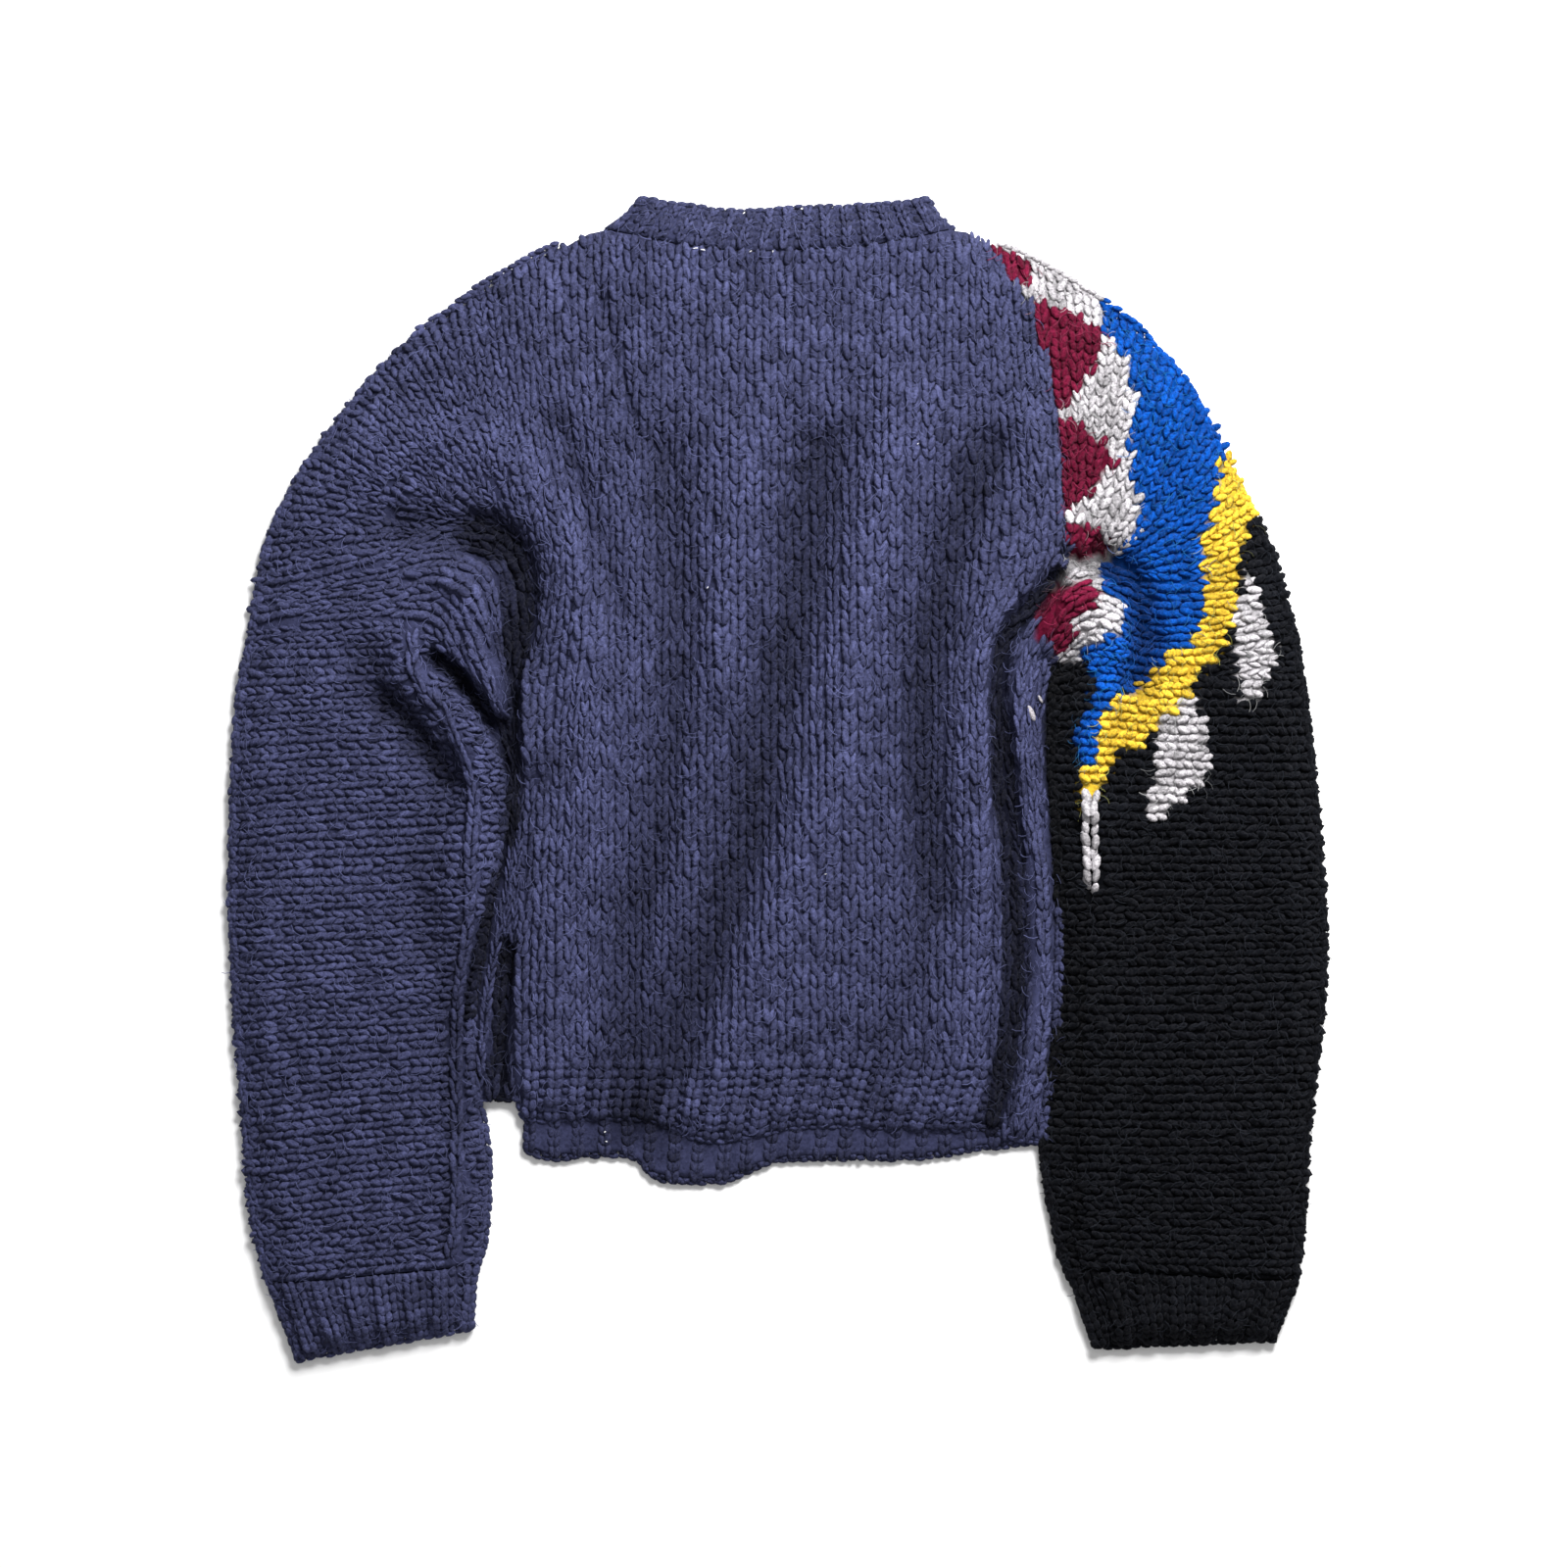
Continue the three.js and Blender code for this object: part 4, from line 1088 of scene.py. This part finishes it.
# the front layer's outer side, underneath
low = stitchRows(columnsBetween(underBody, knit["underWidth"]), knit["underRow"], frontUnder)
belowNeck = low["y"] < np.interp(low["x"], neckLow[:, 0], neckLow[:, 1], left=400, right=400)
low = only(low, belowNeck & (low["y"] > frontHemTopY))
addStitches("stitches.front", legsOf(low, knit["underRow"], underLeg, True), unseen, 18)
for side, guides in (("left", underSleeveLeft), ("right", underSleeveRight)):
    rows = stitchRows(columnsBetween(guides, knit["underWidth"]), knit["underRow"], frontUnder)
    rib = ribLegs(*cuffEnds[side], "cuffUnder", frontUnder, True)
    legs = joined(legsOf(rows, knit["underRow"], underLeg, True), rib)
    addStitches("stitches.under." + side, legs, unseen, 19)
frontRibs = joined(ribLegs(frontHemEdge, frontHemTopLine, "hemUnder", frontUnder, True),
                   ribLegs(frontNeckSeam, frontNeckEdge, "neckUnder", frontUnder, True))
addStitches("stitches.frontRibs", frontRibs, unseen, 20)
for name in ("front", "under.left", "under.right", "frontRibs", "hemInside"):
    settled(pieces["stitches." + name])
print("front stitches made")

# loose hair standing off the wool, darning and lint
hairs = {"density": 31000.0, "length": 0.0064, "thickness": 0.00015, "paleness": (0.007, 0.008, 0.010),
         "palest": 0.25}


def skin(name, sheetNames, lift):
    points, faces, start = [], [], 0
    for sheetName in sheetNames:
        grid = grids[sheetName]
        rows, columns = grid.shape[:2]
        x, y = grid[..., 0].ravel(), grid[..., 1].ravel()
        points.append(np.column_stack([x, y, backTop(x, y) + lift]))
        index = start + np.arange(rows * columns).reshape(rows, columns)
        quads = np.stack([index[:-1, :-1], index[1:, :-1], index[1:, 1:], index[:-1, 1:]], 2).reshape(-1, 4)
        faces += quads.tolist()
        start += rows * columns
    points = np.vstack(points)
    tint = shadedYarnAt(points[:, 0], points[:, 1]) * 1.45 + np.array(hairs["paleness"])
    tint = np.minimum(tint, hairs["palest"])
    return meshObject(name, points, faces, None, tint)


hairSheets = {
    "body": ["backBody", "backHem", "backNeck"],
    "sleeve.left": ["backSleeve.left", "backCuff.left"],
    "sleeve.right": ["backSleeve.right", "backCuff.right"],
}
for seed, (key, names) in enumerate(hairSheets.items()):
    pieces["hair." + key] = grown("hair." + key, skin("carrier " + key, names, 1.1), looseHairs, {
        "Hairs per square metre": hairs["density"], "Length": hairs["length"],
        "Thickness": hairs["thickness"], "Seed": 31 + seed, "Yarn": hairWool})
print("loose hair grown")

marks = {
    "darning": [((159.5, 41), 112, 10.5, 4.2), ((165.5, 50), 118, 5.5, 2.2)],
    "lint": [((-52, 333), 5, 4.0, 0.7), ((-47, 332), -10, 3.2, 1.0), ((-17, 331), 30, 2.0, 0.8),
             ((-3, 331), 70, 1.6, 0.8), ((-109, -223), 30, 1.8, 1.0), ((-108, -229), 0, 1.6, 1.0),
             ((-44, 120), 60, 1.6, 0.5), ((30, -60), 10, 1.8, 0.5), ((88, 210), 40, 1.5, 0.5)],
}
hemInsideY = -218  # specks below this lie on the inner side of the front's hem, at this height
hemInsideTop = 6.0


def markPiece(name, specks, colour, lift):
    place = np.array([speck[0] for speck in specks], float)
    turn = np.radians([speck[1] for speck in specks])
    z = backTop(place[:, 0], place[:, 1]) + lift
    z = np.where(place[:, 1] < hemInsideY, hemInsideTop, z)
    size = np.array([[speck[3] / 2, speck[3] / 2, speck[2] / 2] for speck in specks])
    along = np.column_stack([np.cos(turn), np.sin(turn), np.zeros(len(turn))])
    out = np.tile([0.0, 0.0, 1.0], (len(turn), 1))
    tint = np.tile(np.array(colour), (len(turn), 1))
    return stitchPiece(name, [np.column_stack([place, z]), along, out, size, tint], 6, 5, 21)


pieces["darning"] = markPiece("darning", marks["darning"], (0.34, 0.32, 0.34), 2.9)
pieces["lint"] = markPiece("lint", marks["lint"], (0.75, 0.74, 0.76), 1.9)
print("darning and lint set")

# what each sheet stands for, its flat size and area, and what is worked on to it
cuts = {
    "backBody": ("back_body", (0.36, 0.54), 0.17, [
        "stitches.bodyLeft", "stitches.bodyRight", "hair.body", "darning", "lint"]),
    "frontBody": ("front_body", (0.36, 0.54), 0.17, ["stitches.front"]),
    "backSleeve.left": ("back_sleeve_left", (0.17, 0.65), 0.09, [
        "stitches.sleeve.left", "hair.sleeve.left"]),
    "backSleeve.right": ("back_sleeve_right", (0.17, 0.65), 0.09, [
        "stitches.sleeve.right", "hair.sleeve.right"]),
    "frontSleeve.left": ("front_sleeve_left", (0.17, 0.65), 0.09, ["stitches.under.left"]),
    "frontSleeve.right": ("front_sleeve_right", (0.17, 0.65), 0.09, ["stitches.under.right"]),
    "backHem": ("hem_rib_back", (0.36, 0.037), None, ["stitches.hem"]),
    "frontHem": ("hem_rib_front", (0.33, 0.04), None, ["stitches.hemInside"]),
    "backNeck": ("neck_rib_back", (0.21, 0.026), None, ["stitches.neck"]),
    "frontNeck": ("neck_rib_front", (0.3, 0.024), None, ["stitches.frontRibs"]),
    "backCuff.left": ("cuff_left", (0.13, 0.045), None, ["stitches.cuff.left"]),
    "backCuff.right": ("cuff_right", (0.13, 0.045), None, ["stitches.cuff.right"]),
    "frontCuff.left": ("cuff_left", (0.13, 0.045), None, []),
    "frontCuff.right": ("cuff_right", (0.13, 0.045), None, []),
}
for name, (node, flat, area, on) in cuts.items():
    sheet = sheets[name]
    for piece in [sheet] + [pieces[key] for key in on]:
        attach(piece, "root")
        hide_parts(node)

triangles = {}
for obj in list(sheets.values()) + list(pieces.values()):
    obj.data.calc_loop_triangles()
    triangles[obj.name] = len(obj.data.loop_triangles)
print("triangles:", sum(triangles.values()), max(triangles.values()), triangles)
